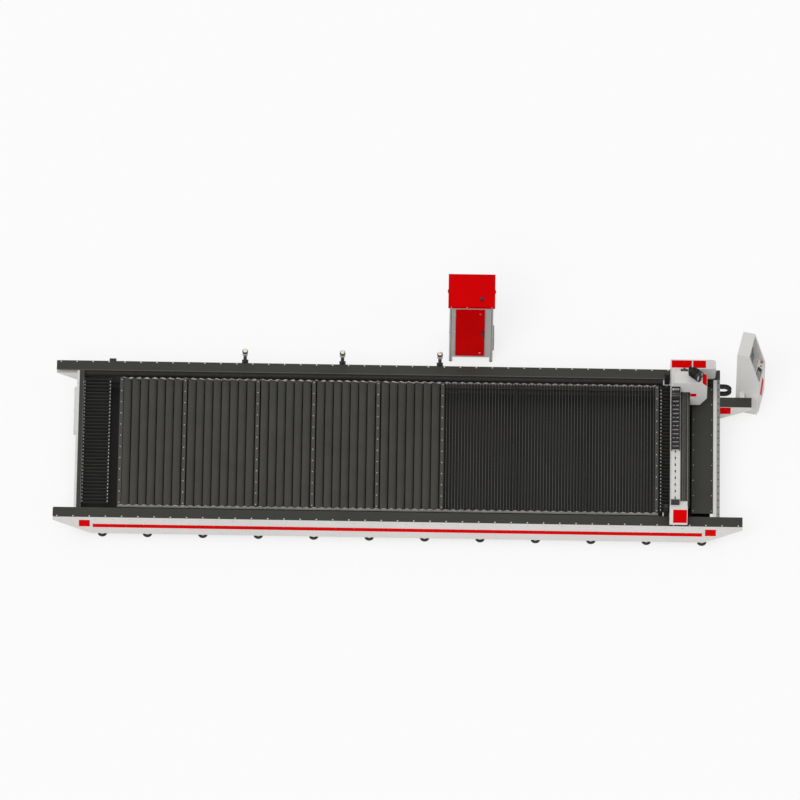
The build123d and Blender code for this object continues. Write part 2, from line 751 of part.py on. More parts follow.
# Louvre slats of the left zone, lying on the sawtooth of the combs
tilt = radians(LOUVRE_TILT)
louvre_run = LOUVRE_WIDTH * cos(tilt)
louvre_high = SLAT_TOP - LOUVRE_SHEET * cos(tilt) - TOOTH_DROP
louvre_low = louvre_high - LOUVRE_WIDTH * sin(tilt)
skin_x = LOUVRE_SHEET * sin(tilt)
skin_z = LOUVRE_SHEET * cos(tilt)
louvre_starts = [
    [module_start + (index + 0.5) * LOUVRE_PITCH - louvre_run / 2 for index in range(louvre_count)]
    for module_start, louvre_count in zip(MODULE_STARTS, MODULE_LOUVRES)
]
with BuildPart() as louvre_slats:
    for start in sum(louvre_starts, []):
        with BuildSketch(side_plane(BED_Y0)):
            profile(
                [
                    (start, louvre_high),
                    (start + louvre_run, louvre_low),
                    (start + louvre_run + skin_x, louvre_low + skin_z),
                    (start + skin_x, louvre_high + skin_z),
                ]
            )
        extrude(amount=BED_Y0 - BED_Y1)
keep(louvre_slats, "louvre_slats")

# Upright slats of the right zone, standing in the notches of the combs
slat_places = [SLAT_X0 + (index + 0.5) * SLAT_PITCH for index in range(SLAT_COUNT)]
slat_bottom = SLAT_TOP - SLAT_DEPTH
with BuildPart() as upright_slats:
    for place in slat_places:
        slab((place - SLAT_SHEET / 2, place + SLAT_SHEET / 2), (BED_Y0, BED_Y1), (slat_bottom, SLAT_TOP))
keep(upright_slats, "upright_slats")

# Comb plates with a sawtooth for the louvres and notches for the slats
tooth_top = SLAT_TOP - TOOTH_DROP
comb_line = [(TABLE_X0, COMB_BOTTOM), (TABLE_X0, BAR_BOTTOM), (LOUVRE_X0, BAR_BOTTOM)]
for module_louvres, station in zip(louvre_starts, module_stations):
    for start in module_louvres:
        comb_line += [
            (start, louvre_high),
            (start + louvre_run, louvre_low),
            (start + louvre_run + skin_x + NOTCH_ROOM, louvre_low),
        ]
    comb_line += [(station - BAR_WIDTH / 2, BAR_BOTTOM), (station + BAR_WIDTH / 2, BAR_BOTTOM)]
for place in slat_places:
    comb_line += [
        (place - SLAT_SHEET / 2 - NOTCH_ROOM, slat_bottom),
        (place + SLAT_SHEET / 2 + NOTCH_ROOM, slat_bottom),
        (place + SLAT_PITCH / 2, tooth_top if place < slat_places[-1] else BAR_BOTTOM),
    ]
comb_line += [(TABLE_X1, BAR_BOTTOM), (TABLE_X1, COMB_BOTTOM)]
with BuildPart() as bed_combs:
    for comb_y in (BED_Y0, FRAME_Y1):
        with BuildSketch(side_plane(comb_y)):
            profile(comb_line)
        extrude(amount=-COMB_SHEET)
keep(bed_combs, "bed_combs")

# End grates: bars along X in the notches of cross combs
grate_pitch = (FRAME_Y1 - FRAME_Y0) / GRATE_BARS
grate_places = [FRAME_Y0 + (index + 0.5) * grate_pitch for index in range(GRATE_BARS)]
grate_bottom = SLAT_TOP - GRATE_DEPTH
grate_line = [(FRAME_Y0, TIE_TOP), (FRAME_Y0, tooth_top)]
for place in grate_places:
    grate_line += [
        (place - GRATE_SHEET / 2 - NOTCH_ROOM, grate_bottom),
        (place + GRATE_SHEET / 2 + NOTCH_ROOM, grate_bottom),
        (place + grate_pitch / 2, tooth_top),
    ]
grate_line += [(FRAME_Y1, TIE_TOP)]
with BuildPart() as grate_combs:
    for station in comb_stations:
        with BuildSketch(end_plane(station - COMB_SHEET / 2)):
            profile(grate_line)
        extrude(amount=COMB_SHEET)
keep(grate_combs, "grate_combs")

with BuildPart() as grate_bars:
    for grate_x in (GRATE_X0, RIGHT_GRATE_X0):
        for place in grate_places:
            slab(
                (grate_x, grate_x + GRATE_LENGTH),
                (place - GRATE_SHEET / 2, place + GRATE_SHEET / 2),
                (grate_bottom, SLAT_TOP),
            )
keep(grate_bars, "grate_bars")

# Folded deck plate between the right grate and the right wall
with BuildPart() as deck_plate:
    deck_end = RIGHT_WALL - WALL_FLANGE - FLOOR_GAP
    slab((DECK_X0, deck_end), (FRAME_Y0, FRAME_Y1), (ledge_top, lip_bottom))
    slab(
        (DECK_X0, DECK_X0 + DECK_PLATE_SHEET),
        (FRAME_Y0, FRAME_Y1),
        (lip_bottom - DECK_PLATE_FOLD, ledge_top),
    )
keep(deck_plate, "deck_plate")

# Small fittings: gas take-off necks, end switch box and the cap on the cabinet hood
coupling_places = [bed_x(COUPLING_FIRST) + index * COUPLING_PITCH for index in range(COUPLING_COUNT)]
coupling_y = Y_REAR + COUPLING_OFFSET
with BuildPart() as small_fittings:
    for place in coupling_places:
        slab(
            (place - BRACKET_WIDTH / 2, place + BRACKET_WIDTH / 2),
            (Y_REAR, coupling_y + COUPLING_CAP),
            (COUPLING_BASE, COUPLING_BASE + BRACKET_SHEET),
        )
        with BuildSketch(Plane((place, coupling_y, COUPLING_BASE + BRACKET_SHEET))):
            Circle(COUPLING_NECK)
        extrude(amount=COUPLING_NECK_TOP - COUPLING_BASE - BRACKET_SHEET)
    slab(
        (bed_x(SWITCH_START), bed_x(SWITCH_START + SWITCH_LENGTH)),
        (Y_REAR, Y_REAR + SWITCH_REACH),
        (BEAM_TOP - SWITCH_HEIGHT, COVER_TOP),
    )
    with BuildSketch(Plane((bed_x(HOOD_CAP_X), CAB_Y0 + HOOD_CAP_DEPTH, HOOD_TOP))):
        Circle(HOOD_CAP_RADIUS)
    extrude(amount=HOOD_CAP_HEIGHT)
keep(small_fittings, "small_fittings")

with BuildPart() as coupling_caps:
    for place in coupling_places:
        with BuildSketch(Plane((place, coupling_y, COUPLING_NECK_TOP))):
            RegularPolygon(COUPLING_CAP, COUPLING_GRIPS)
        extrude(amount=COUPLING_CAP_TOP - COUPLING_NECK_TOP)
    chamfer(coupling_caps.faces().filter_by(Axis.Z).edges(), length=COUPLING_CHAMFER)
keep(coupling_caps, "coupling_caps")

# Channel for the long energy chain beside the rear beam
trough_y1 = Y_REAR - BEAM_WIDTH - RACK_WIDTH
trough_y0 = trough_y1 - TROUGH_WIDTH
trough_floor = TIE_TOP + TROUGH_SHEET
with BuildPart() as chain_trough:
    with BuildSketch(end_plane(GRATE_X0)):
        profile(
            [
                (trough_y0, TIE_TOP),
                (trough_y1, TIE_TOP),
                (trough_y1, TIE_TOP + TROUGH_WALL),
                (trough_y1 - TROUGH_SHEET, TIE_TOP + TROUGH_WALL),
                (trough_y1 - TROUGH_SHEET, trough_floor),
                (trough_y0 + TROUGH_SHEET, trough_floor),
                (trough_y0 + TROUGH_SHEET, TIE_TOP + TROUGH_WALL),
                (trough_y0, TIE_TOP + TROUGH_WALL),
            ]
        )
    extrude(amount=RIGHT_WALL - GRATE_X0)
keep(chain_trough, "chain_trough")

# Gantry bridge: a welded box with one bevelled lower edge
bridge_y0 = bed_y(BRIDGE_FRONT)
bridge_y1 = bed_y(BRIDGE_REAR)
with BuildPart() as bridge:
    slab((BRIDGE_X0, BRIDGE_X1), (bridge_y0, bridge_y1), (BRIDGE_BOTTOM, BRIDGE_TOP))
    lower_edges = bridge.edges().filter_by(Axis.Y).group_by(Axis.Z)[0]
    chamfer(lower_edges.sort_by(Axis.X)[0], length=BRIDGE_CHAMFER)
keep(bridge, "bridge")

# End carriages: a foot plate under the cover and a pedestal that bears the bridge
drive_x = GANTRY_X - X_DRIVE_OFFSET
pinion_depth = BEAM_WIDTH + RACK_WIDTH + MESH_CLEARANCE + PINION_RADIUS
pedestal_x0 = BRIDGE_X0 + BRIDGE_CHAMFER
for side in SIDES:
    with BuildPart() as end_carriage:
        slab(
            (GANTRY_X - FOOT_PLATE_REACH, BRIDGE_X1),
            (inward(side, FOOT_PLATE_START), inward(side, FOOT_PLATE_END)),
            (BLOCK_TOP, FOOT_PLATE_TOP),
        )
        for cheek_x in (pedestal_x0, BRIDGE_X1 - PEDESTAL_SHEET):
            slab(
                (cheek_x, cheek_x + PEDESTAL_SHEET),
                (inward(side, PEDESTAL_START), inward(side, FOOT_PLATE_END)),
                (FOOT_PLATE_TOP, BRIDGE_BOTTOM),
            )
        slab(
            (pedestal_x0, BRIDGE_X1),
            (inward(side, PEDESTAL_START), inward(side, PEDESTAL_START + PEDESTAL_BACK)),
            (FOOT_PLATE_TOP, BRIDGE_BOTTOM),
        )
        with Locations((drive_x, inward(side, pinion_depth), FOOT_PLATE_TOP)):
            Hole(PINION_SHAFT + GUIDE_CLEARANCE, depth=FOOT_PLATE_SHEET)
        if side == "rear":
            slab(
                (X_BRACKET, X_BRACKET + X_BRACKET_SHEET),
                (X_CHAIN_Y - X_CHAIN_WIDTH / 2, X_CHAIN_Y + X_CHAIN_WIDTH / 2),
                (X_CHAIN_UPPER - X_CHAIN_HEIGHT / 2, BLOCK_TOP),
            )
    keep(end_carriage, f"{side}_carriage")

    with BuildPart() as pinion:
        pinion_y = inward(side, pinion_depth)
        pinion_z = RACK_TOP - RACK_HEIGHT / 2 - PINION_HEIGHT / 2
        with BuildSketch(Plane((drive_x, pinion_y, pinion_z))):
            profile(gear_outline(PINION_RADIUS, PINION_TEETH))
        extrude(amount=PINION_HEIGHT)
        with BuildSketch(Plane((drive_x, pinion_y, pinion_z + PINION_HEIGHT))):
            Circle(PINION_SHAFT)
        extrude(amount=FOOT_PLATE_TOP - GUIDE_CLEARANCE - pinion_z - PINION_HEIGHT)
    keep(pinion, f"{side}_pinion")

# Bearing blocks of the end carriages
with BuildPart() as x_bearings:
    for side in SIDES:
        for block_x in (drive_x, GANTRY_X + BLOCK_SPREAD):
            with BuildSketch(end_plane(block_x - BLOCK_LENGTH / 2)):
                profile([(inward(side, RAIL_DEPTH) + a, BEAM_DECK + u) for a, u in block_outline()])
            extrude(amount=BLOCK_LENGTH)
keep(x_bearings, "x_bearings")

# Gearboxes and servo motors of the long axis
with BuildPart() as x_drives:
    for side in SIDES:
        drive_y = inward(side, pinion_depth)
        with BuildSketch(Plane((drive_x, drive_y, FOOT_PLATE_TOP))):
            Rectangle(DRIVE_SIZE, DRIVE_SIZE)
        extrude(amount=GEARBOX_HEIGHT)
        with BuildSketch(Plane((drive_x, drive_y, FOOT_PLATE_TOP + GEARBOX_HEIGHT))):
            Circle(MOTOR_RADIUS)
        extrude(amount=MOTOR_HEIGHT)
keep(x_drives, "x_drives")

# Sloping front end cap, open below and behind
cap_x0 = BRIDGE_X0 - CAP_SHEET
cap_x1 = BRIDGE_X1 + CAP_SHEET
slope_rise = CAP_TOP - CAP_SLOPE_BOTTOM
slope_length = hypot(CAP_SLOPE_DEPTH, slope_rise)
cap_y = bed_y(CAP_FRONT)
cap_back = bed_y(CAP_BACK)


def slope_y(z, inset):
    """Y on the sloping face at a height, moved in by a sheet thickness."""
    return cap_y + ((z - CAP_SLOPE_BOTTOM) * CAP_SLOPE_DEPTH + inset * slope_length) / slope_rise


with BuildPart() as front_cap:
    with BuildSketch(end_plane(cap_x0)):
        profile(
            [
                (cap_y, CAP_BOTTOM),
                (cap_y, CAP_SLOPE_BOTTOM),
                (cap_y + CAP_SLOPE_DEPTH, CAP_TOP),
                (cap_back, CAP_TOP),
                (cap_back, CAP_BOTTOM),
            ]
        )
    extrude(amount=cap_x1 - cap_x0)
    with BuildSketch(end_plane(BRIDGE_X0)):
        profile(
            [
                (slope_y(CAP_SLOPE_BOTTOM, CAP_SHEET), CAP_BOTTOM - CUT_OVERRUN),
                (slope_y(CAP_SLOPE_BOTTOM, CAP_SHEET), CAP_SLOPE_BOTTOM),
                (slope_y(BRIDGE_TOP, CAP_SHEET), BRIDGE_TOP),
                (cap_back + CUT_OVERRUN, BRIDGE_TOP),
                (cap_back + CUT_OVERRUN, CAP_BOTTOM - CUT_OVERRUN),
            ]
        )
    extrude(amount=BRIDGE_WIDTH, mode=Mode.SUBTRACT)
keep(front_cap, "front_cap")

# Rear end cap with a rounded right end, open below, notched for the bridge
rear_y0 = bed_y(REAR_CAP_START)
rear_y1 = bed_y(REAR_CAP_END)
rear_x1 = bed_x(REAR_CAP_RIGHT)
with BuildPart() as rear_cap:
    slab((cap_x0, rear_x1), (rear_y0, rear_y1), (CAP_BOTTOM, CAP_TOP))
    fillet(rear_cap.edges().filter_by(Axis.Z).group_by(Axis.X)[-1], radius=REAR_CAP_CORNER)
    offset(
        amount=-CAP_SHEET,
        openings=rear_cap.faces().sort_by(Axis.Z)[0],
        mode=Mode.REPLACE,
    )
    slab(
        (BRIDGE_X0, BRIDGE_X1),
        (rear_y0, rear_y0 + CAP_SHEET),
        (CAP_BOTTOM, BRIDGE_TOP),
        mode=Mode.SUBTRACT,
    )
keep(rear_cap, "rear_cap")

# Red panels on the two end caps
with BuildPart() as cap_panels:
    slope_middle = (
        GANTRY_X + CAP_PANEL_OFFSET,
        cap_y + CAP_SLOPE_DEPTH / 2,
        CAP_SLOPE_BOTTOM + slope_rise / 2,
    )
    with BuildSketch(Plane(slope_middle, x_dir=(1, 0, 0), z_dir=(0, -slope_rise, CAP_SLOPE_DEPTH))):
        Rectangle(CAP_PANEL_WIDTH, slope_length - 2 * CAP_PANEL_EDGE)
    extrude(amount=TRIM_SHEET)
    for panel_x0, panel_x1 in (
        (cap_x0 + REAR_PANEL_MARGIN, bed_x(REAR_PANEL_SPLIT) - REAR_PANEL_MARGIN / 2),
        (bed_x(REAR_PANEL_SPLIT) + REAR_PANEL_MARGIN / 2, bed_x(REAR_PANEL_END)),
    ):
        slab(
            (panel_x0, panel_x1),
            (rear_y0 + REAR_PANEL_MARGIN, rear_y1 - REAR_PANEL_MARGIN),
            (CAP_TOP, CAP_TOP + TRIM_SHEET),
        )
keep(cap_panels, "cap_panels")

# Guides of the cross axis on top of and beside the bridge, and its rack
top_guide_x = GANTRY_X + TOP_GUIDE_OFFSET
guide_y0 = bed_y(GUIDE_START)
guide_y1 = bed_y(GUIDE_END)
with BuildPart() as y_guideways:
    for outline in (
        [(top_guide_x + a, BRIDGE_TOP + u) for a, u in guide_outline()],
        [(BRIDGE_X1 + u, SIDE_GUIDE_HEIGHT + a) for a, u in guide_outline()],
    ):
        with BuildSketch(side_plane(guide_y0)):
            profile(outline)
        extrude(amount=guide_y0 - guide_y1)
    slab(
        (BRIDGE_X1, BRIDGE_X1 + RACK_WIDTH),
        (guide_y0, guide_y1),
        (Y_RACK_BOTTOM, Y_RACK_BOTTOM + Y_RACK_HEIGHT),
    )
keep(y_guideways, "y_guideways")

# Slotted tray for the cross energy chain
tray_x0 = bed_x(TRAY_LEFT)
tray_x1 = tray_x0 + TRAY_WIDTH
with BuildPart() as chain_tray:
    slab((tray_x0, tray_x1), (guide_y0, guide_y1), (BRIDGE_TOP, BRIDGE_TOP + TRAY_SHEET))
    for wall_x in (tray_x0, tray_x1 - TRAY_SHEET):
        slab(
            (wall_x, wall_x + TRAY_SHEET),
            (guide_y0, guide_y1),
            (BRIDGE_TOP + TRAY_SHEET, BRIDGE_TOP + TRAY_WALL),
        )
    slot_pitch = (guide_y1 - guide_y0) / TRAY_SLOTS
    with Locations(((tray_x0 + tray_x1) / 2, (guide_y0 + guide_y1) / 2, BRIDGE_TOP)):
        with GridLocations(0, slot_pitch, 1, TRAY_SLOTS):
            Box(TRAY_SLOT_WIDTH, TRAY_SLOT_LENGTH, 2 * TRAY_SHEET, mode=Mode.SUBTRACT)
keep(chain_tray, "chain_tray")

# Cross energy chain: waisted side plates joined by bars, and the end stop before it
chain_x = (tray_x0 + tray_x1) / 2
chain_z0 = BRIDGE_TOP + TRAY_SHEET
chain_y0 = bed_y(Y_CHAIN_START)
link_joints = [chain_y0 + index * CHAIN_PITCH for index in range(Y_CHAIN_LINKS + 1)]
lower_edge = []
upper_edge = []
for start, end in zip(link_joints, link_joints[1:]):
    lower_edge += [
        (start, chain_z0 + CHAIN_NOTCH),
        (start + CHAIN_NOTCH, chain_z0),
        (end - CHAIN_NOTCH, chain_z0),
    ]
    upper_edge += [(y, chain_z0 + CHAIN_HEIGHT - (z - chain_z0)) for y, z in lower_edge[-3:]]
joint_z = (chain_z0 + CHAIN_NOTCH, chain_z0 + CHAIN_HEIGHT - CHAIN_NOTCH)
chain_end = [(link_joints[-1], height) for height in joint_z]
chain_line = [*lower_edge, *chain_end, *reversed(upper_edge)]
with BuildPart() as y_chain:
    for plate_x in (chain_x - Y_CHAIN_WIDTH / 2, chain_x + Y_CHAIN_WIDTH / 2 - CHAIN_SIDE):
        with BuildSketch(end_plane(plate_x)):
            profile(chain_line)
        extrude(amount=CHAIN_SIDE)
    bar_x = (chain_x - Y_CHAIN_WIDTH / 2 + CHAIN_SIDE, chain_x + Y_CHAIN_WIDTH / 2 - CHAIN_SIDE)
    for joint in link_joints[:-1]:
        bar_y = joint + CHAIN_PITCH / 2
        for bar_z in (chain_z0 + CHAIN_BAR_SHEET, chain_z0 + CHAIN_HEIGHT - 2 * CHAIN_BAR_SHEET):
            slab(
                bar_x,
                (bar_y - CHAIN_BAR / 2, bar_y + CHAIN_BAR / 2),
                (bar_z, bar_z + CHAIN_BAR_SHEET),
            )
    slab(
        (chain_x - Y_CHAIN_WIDTH / 2, chain_x + Y_CHAIN_WIDTH / 2),
        (guide_y0 - END_STOP_LENGTH, guide_y0),
        (BRIDGE_TOP, BRIDGE_TOP + END_STOP_HEIGHT),
    )
keep(y_chain, "y_chain")

# Long energy chain: its bend and the two runs next to it
x_chain_x0 = X_BRACKET + X_BRACKET_SHEET
x_chain_x1 = x_chain_x0 + X_CHAIN_LINKS * CHAIN_PITCH
half_band = X_CHAIN_HEIGHT / 2
x_chain_mid = (X_CHAIN_UPPER + X_CHAIN_LOWER) / 2
with BuildPart() as x_chain:
    for plate_y in (X_CHAIN_Y - X_CHAIN_WIDTH / 2, X_CHAIN_Y + X_CHAIN_WIDTH / 2 - CHAIN_SIDE):
        with BuildSketch(side_plane(plate_y)):
            with BuildLine():
                Line((x_chain_x0, X_CHAIN_UPPER + half_band), (x_chain_x1, X_CHAIN_UPPER + half_band))
                ThreePointArc(
                    (x_chain_x1, X_CHAIN_UPPER + half_band),
                    (x_chain_x1 + X_CHAIN_RADIUS + half_band, x_chain_mid),
                    (x_chain_x1, X_CHAIN_LOWER - half_band),
                )
                Polyline(
                    (x_chain_x1, X_CHAIN_LOWER - half_band),
                    (x_chain_x0, X_CHAIN_LOWER - half_band),
                    (x_chain_x0, X_CHAIN_LOWER + half_band),
                    (x_chain_x1, X_CHAIN_LOWER + half_band),
                )
                ThreePointArc(
                    (x_chain_x1, X_CHAIN_LOWER + half_band),
                    (x_chain_x1 + X_CHAIN_RADIUS - half_band, x_chain_mid),
                    (x_chain_x1, X_CHAIN_UPPER - half_band),
                )
                Polyline(
                    (x_chain_x1, X_CHAIN_UPPER - half_band),
                    (x_chain_x0, X_CHAIN_UPPER - half_band),
                    (x_chain_x0, X_CHAIN_UPPER + half_band),
                )
            make_face()
        extrude(amount=-CHAIN_SIDE)
    bar_length = X_CHAIN_WIDTH - 2 * CHAIN_SIDE
    for index in range(X_CHAIN_LINKS):
        bar_center = x_chain_x0 + (index + 0.5) * CHAIN_PITCH
        for run_z in (X_CHAIN_UPPER, X_CHAIN_LOWER):
            with Locations((bar_center, X_CHAIN_Y, run_z)):
                Box(CHAIN_BAR, bar_length, X_CHAIN_HEIGHT - 2 * CHAIN_BAR_SHEET)
    with Locations(Plane((x_chain_x1, X_CHAIN_Y, x_chain_mid), x_dir=(1, 0, 0), z_dir=(0, -1, 0))):
        bend_start = -90 + 90 / BEND_LINKS
        with PolarLocations(X_CHAIN_RADIUS, BEND_LINKS, start_angle=bend_start, angular_range=180):
            Box(X_CHAIN_HEIGHT - 2 * CHAIN_BAR_SHEET, CHAIN_BAR, bar_length)
keep(x_chain, "x_chain")

# Carriage plate: an angle over the bridge with a seat and a motor tab
plate_x0 = BRIDGE_X1 + RAIL_HEIGHT + BLOCK_RISE
plate_x1 = plate_x0 + CARRIAGE_SHEET
leg_z0 = BRIDGE_TOP + RAIL_HEIGHT + BLOCK_RISE
leg_z1 = leg_z0 + CARRIAGE_SHEET
carriage_y0 = bed_y(CARRIAGE_START)
carriage_y1 = carriage_y0 + CARRIAGE_LENGTH
head_y = bed_y(HEAD_POSITION)
y_drive = bed_y(Y_DRIVE_POSITION)
y_pinion_z = Y_RACK_BOTTOM - MESH_CLEARANCE - Y_PINION_RADIUS
screw_x = plate_x1 + Z_RAIL_HEIGHT
motor_seat = Z_SHELF_BOTTOM + Z_SHELF_SHEET
with BuildPart() as carriage_plate:
    with BuildSketch(side_plane(carriage_y0)):
        profile(
            [
                (plate_x0, CARRIAGE_BOTTOM),
                (plate_x1, CARRIAGE_BOTTOM),
                (plate_x1, leg_z1),
                (top_guide_x - BLOCK_WIDTH / 2, leg_z1),
                (top_guide_x - BLOCK_WIDTH / 2, leg_z0),
                (plate_x0, leg_z0),
            ]
        )
    extrude(amount=-CARRIAGE_LENGTH)
    slab(
        (top_guide_x - BLOCK_WIDTH / 2, top_guide_x + BLOCK_WIDTH / 2),
        (carriage_y0, carriage_y1),
        (leg_z1, leg_z1 + CARRIAGE_PAD),
    )
    slab(
        (plate_x0, plate_x1),
        (head_y - Z_MOTOR_SIZE / 2, head_y + Z_MOTOR_SIZE / 2),
        (leg_z1, motor_seat),
    )
    slab(
        (plate_x1, screw_x + Z_MOTOR_SIZE / 2),
        (head_y - Z_MOTOR_SIZE / 2, head_y + Z_MOTOR_SIZE / 2),
        (Z_SHELF_BOTTOM, motor_seat),
    )
    with Locations(Plane((plate_x1, y_drive, y_pinion_z), x_dir=(0, 1, 0), z_dir=(1, 0, 0))):
        Hole(PINION_SHAFT + GUIDE_CLEARANCE, depth=CARRIAGE_SHEET)
keep(carriage_plate, "carriage_plate")

# Bearing blocks of the carriage and the short rails of the head slide
with BuildPart() as carriage_guides:
    for block_y in (carriage_y0, carriage_y1 - CARRIAGE_BLOCK):
        for outline in (
            [(top_guide_x + a, BRIDGE_TOP + u) for a, u in block_outline()],
            [(BRIDGE_X1 + u, SIDE_GUIDE_HEIGHT + a) for a, u in block_outline()],
        ):
            with BuildSketch(side_plane(block_y)):
                profile(outline)
            extrude(amount=-CARRIAGE_BLOCK)
    for rail_y in (head_y - Z_RAIL_SPREAD, head_y + Z_RAIL_SPREAD):
        slab(
            (plate_x1, plate_x1 + Z_RAIL_HEIGHT),
            (rail_y - Z_RAIL_WIDTH / 2, rail_y + Z_RAIL_WIDTH / 2),
            (Z_RAIL_BOTTOM, Z_RAIL_TOP),
        )
keep(carriage_guides, "carriage_guides")

# Sheet housing over the carriage, open below and towards the bridge
housing_x0 = bed_x(HOUSING_LEFT)
housing_x1 = bed_x(HOUSING_RIGHT)
housing_y0 = bed_y(HOUSING_FRONT)
housing_y1 = housing_y0 + HOUSING_DEPTH
step_x = plate_x0 - HOUSING_STEP
step_z = leg_z1 + CARRIAGE_PAD
bevel_top = HOUSING_BOTTOM + HOUSING_BEVEL_HEIGHT
bevel_slope = HOUSING_BEVEL_WIDTH / HOUSING_BEVEL_HEIGHT
bevel_shift = HOUSING_SHEET * hypot(1, bevel_slope)
inner_x1 = housing_x1 - HOUSING_SHEET
inner_bottom = HOUSING_BOTTOM - CUT_OVERRUN
with BuildPart() as housing:
    with BuildSketch(side_plane(housing_y0)):
        profile(
            [
                (housing_x0, HOUSING_TOP),
                (housing_x1 - SHOULDER_WIDTH, HOUSING_TOP),
                (housing_x1, HOUSING_TOP - SHOULDER_HEIGHT),
                (housing_x1, bevel_top),
                (housing_x1 - HOUSING_BEVEL_WIDTH, HOUSING_BOTTOM),
                (step_x, HOUSING_BOTTOM),
                (step_x, step_z),
                (housing_x0, step_z),
            ]
        )
    extrude(amount=-HOUSING_DEPTH)
    with BuildSketch(side_plane(housing_y0 + HOUSING_SHEET)):
        profile(
            [
                (housing_x0 + HOUSING_SHEET, HOUSING_TOP - HOUSING_SHEET),
                (inner_x1 - SHOULDER_WIDTH, HOUSING_TOP - HOUSING_SHEET),
                (inner_x1, HOUSING_TOP - HOUSING_SHEET - SHOULDER_HEIGHT),
                (inner_x1, bevel_top + (bevel_shift - HOUSING_SHEET) / bevel_slope),
                (housing_x1 - bevel_shift - bevel_slope * (bevel_top - inner_bottom), inner_bottom),
                (step_x - CUT_OVERRUN, inner_bottom),
                (step_x - CUT_OVERRUN, step_z),
                (step_x, step_z),
                (step_x, step_z + HOUSING_SHEET),
                (housing_x0 + HOUSING_SHEET, step_z + HOUSING_SHEET),
            ]
        )
    extrude(amount=-(HOUSING_DEPTH - 2 * HOUSING_SHEET), mode=Mode.SUBTRACT)
keep(housing, "housing")

# Red plates on the housing's front and on its bevelled shoulder
shoulder_length = hypot(SHOULDER_WIDTH, SHOULDER_HEIGHT)
shoulder_middle = (
    housing_x1 - SHOULDER_WIDTH / 2,
    (housing_y0 + housing_y1) / 2,
    HOUSING_TOP - SHOULDER_HEIGHT / 2,
)
with BuildPart() as carriage_trim:
    slab(
        (step_x + TRIM_SHEET, step_x + TRIM_WIDTH),
        (housing_y0 - TRIM_SHEET, housing_y0),
        (step_z - TRIM_DROP - TRIM_HEIGHT, step_z - TRIM_DROP),
    )
    with BuildSketch(Plane(shoulder_middle, x_dir=(0, 1, 0), z_dir=(SHOULDER_HEIGHT, 0, SHOULDER_WIDTH))):
        Rectangle(HOUSING_DEPTH - 2 * SHOULDER_MARGIN, shoulder_length - 2 * SHOULDER_MARGIN)
    extrude(amount=TRIM_SHEET)
keep(carriage_trim, "carriage_trim")

# Rising end of the cross energy chain, clamped to the housing's front
bend_z = chain_z0 + CHAIN_HEIGHT + Y_BEND_FLOAT + CHAIN_HEIGHT / 2 + Y_BEND_RADIUS
bend_outer = Y_BEND_RADIUS + CHAIN_HEIGHT / 2
bend_inner = Y_BEND_RADIUS - CHAIN_HEIGHT / 2
bend_y = housing_y0 - CHAIN_BRACKET_SHEET - bend_outer
bend_top = bend_z + CHAIN_PITCH / 2
diagonal = cos(radians(45))
with BuildPart() as y_chain_bend:
    for plate_x in (chain_x - Y_CHAIN_WIDTH / 2, chain_x + Y_CHAIN_WIDTH / 2 - CHAIN_SIDE):
        with BuildSketch(end_plane(plate_x)):
            with BuildLine():
                ThreePointArc(
                    (bend_y, bend_z - bend_outer),
                    (bend_y + bend_outer * diagonal, bend_z - bend_outer * diagonal),
                    (bend_y + bend_outer, bend_z),
                )
                Polyline(
                    (bend_y + bend_outer, bend_z),
                    (bend_y + bend_outer, bend_top),
                    (bend_y + bend_inner, bend_top),
                    (bend_y + bend_inner, bend_z),
                )
                ThreePointArc(
                    (bend_y + bend_inner, bend_z),
                    (bend_y + bend_inner * diagonal, bend_z - bend_inner * diagonal),
                    (bend_y, bend_z - bend_inner),
                )
                Line((bend_y, bend_z - bend_inner), (bend_y, bend_z - bend_outer))
            make_face()
        extrude(amount=CHAIN_SIDE)
    with Locations(Plane((chain_x, bend_y, bend_z), x_dir=(0, 1, 0), z_dir=(1, 0, 0))):
        with PolarLocations(Y_BEND_RADIUS, BEND_LINKS // 2, start_angle=-80, angular_range=80):
            Box(CHAIN_HEIGHT - 2 * CHAIN_BAR_SHEET, CHAIN_BAR, Y_CHAIN_WIDTH - 2 * CHAIN_SIDE)
    slab(
        (chain_x - Y_CHAIN_WIDTH / 2, chain_x + Y_CHAIN_WIDTH / 2),
        (bend_y + bend_outer, housing_y0),
        (bend_z, bend_top),
    )
keep(y_chain_bend, "y_chain_bend")

# Servo motors of the cross axis and of the head slide
with BuildPart() as carriage_motors:
    with BuildSketch(Plane((plate_x1, y_drive, y_pinion_z), x_dir=(0, 1, 0), z_dir=(1, 0, 0))):
        Circle(MOTOR_RADIUS)
    extrude(amount=Y_MOTOR_LENGTH)
    with BuildSketch(Plane((screw_x, head_y, motor_seat))):
        Rectangle(Z_MOTOR_SIZE, Z_MOTOR_SIZE)
    extrude(amount=Z_MOTOR_HEIGHT)
keep(carriage_motors, "carriage_motors")

# Pinion of the cross axis
with BuildPart() as y_pinion:
    pinion_x = BRIDGE_X1 + RACK_WIDTH / 2 - Y_PINION_LENGTH / 2
    with BuildSketch(Plane((pinion_x, y_drive, y_pinion_z), x_dir=(0, 1, 0), z_dir=(1, 0, 0))):
        profile(gear_outline(Y_PINION_RADIUS, Y_PINION_TEETH))
    extrude(amount=Y_PINION_LENGTH)
    shaft_x = pinion_x + Y_PINION_LENGTH
    with BuildSketch(Plane((shaft_x, y_drive, y_pinion_z), x_dir=(0, 1, 0), z_dir=(1, 0, 0))):
        Circle(PINION_SHAFT)
    extrude(amount=plate_x1 - GUIDE_CLEARANCE - shaft_x)
keep(y_pinion, "y_pinion")

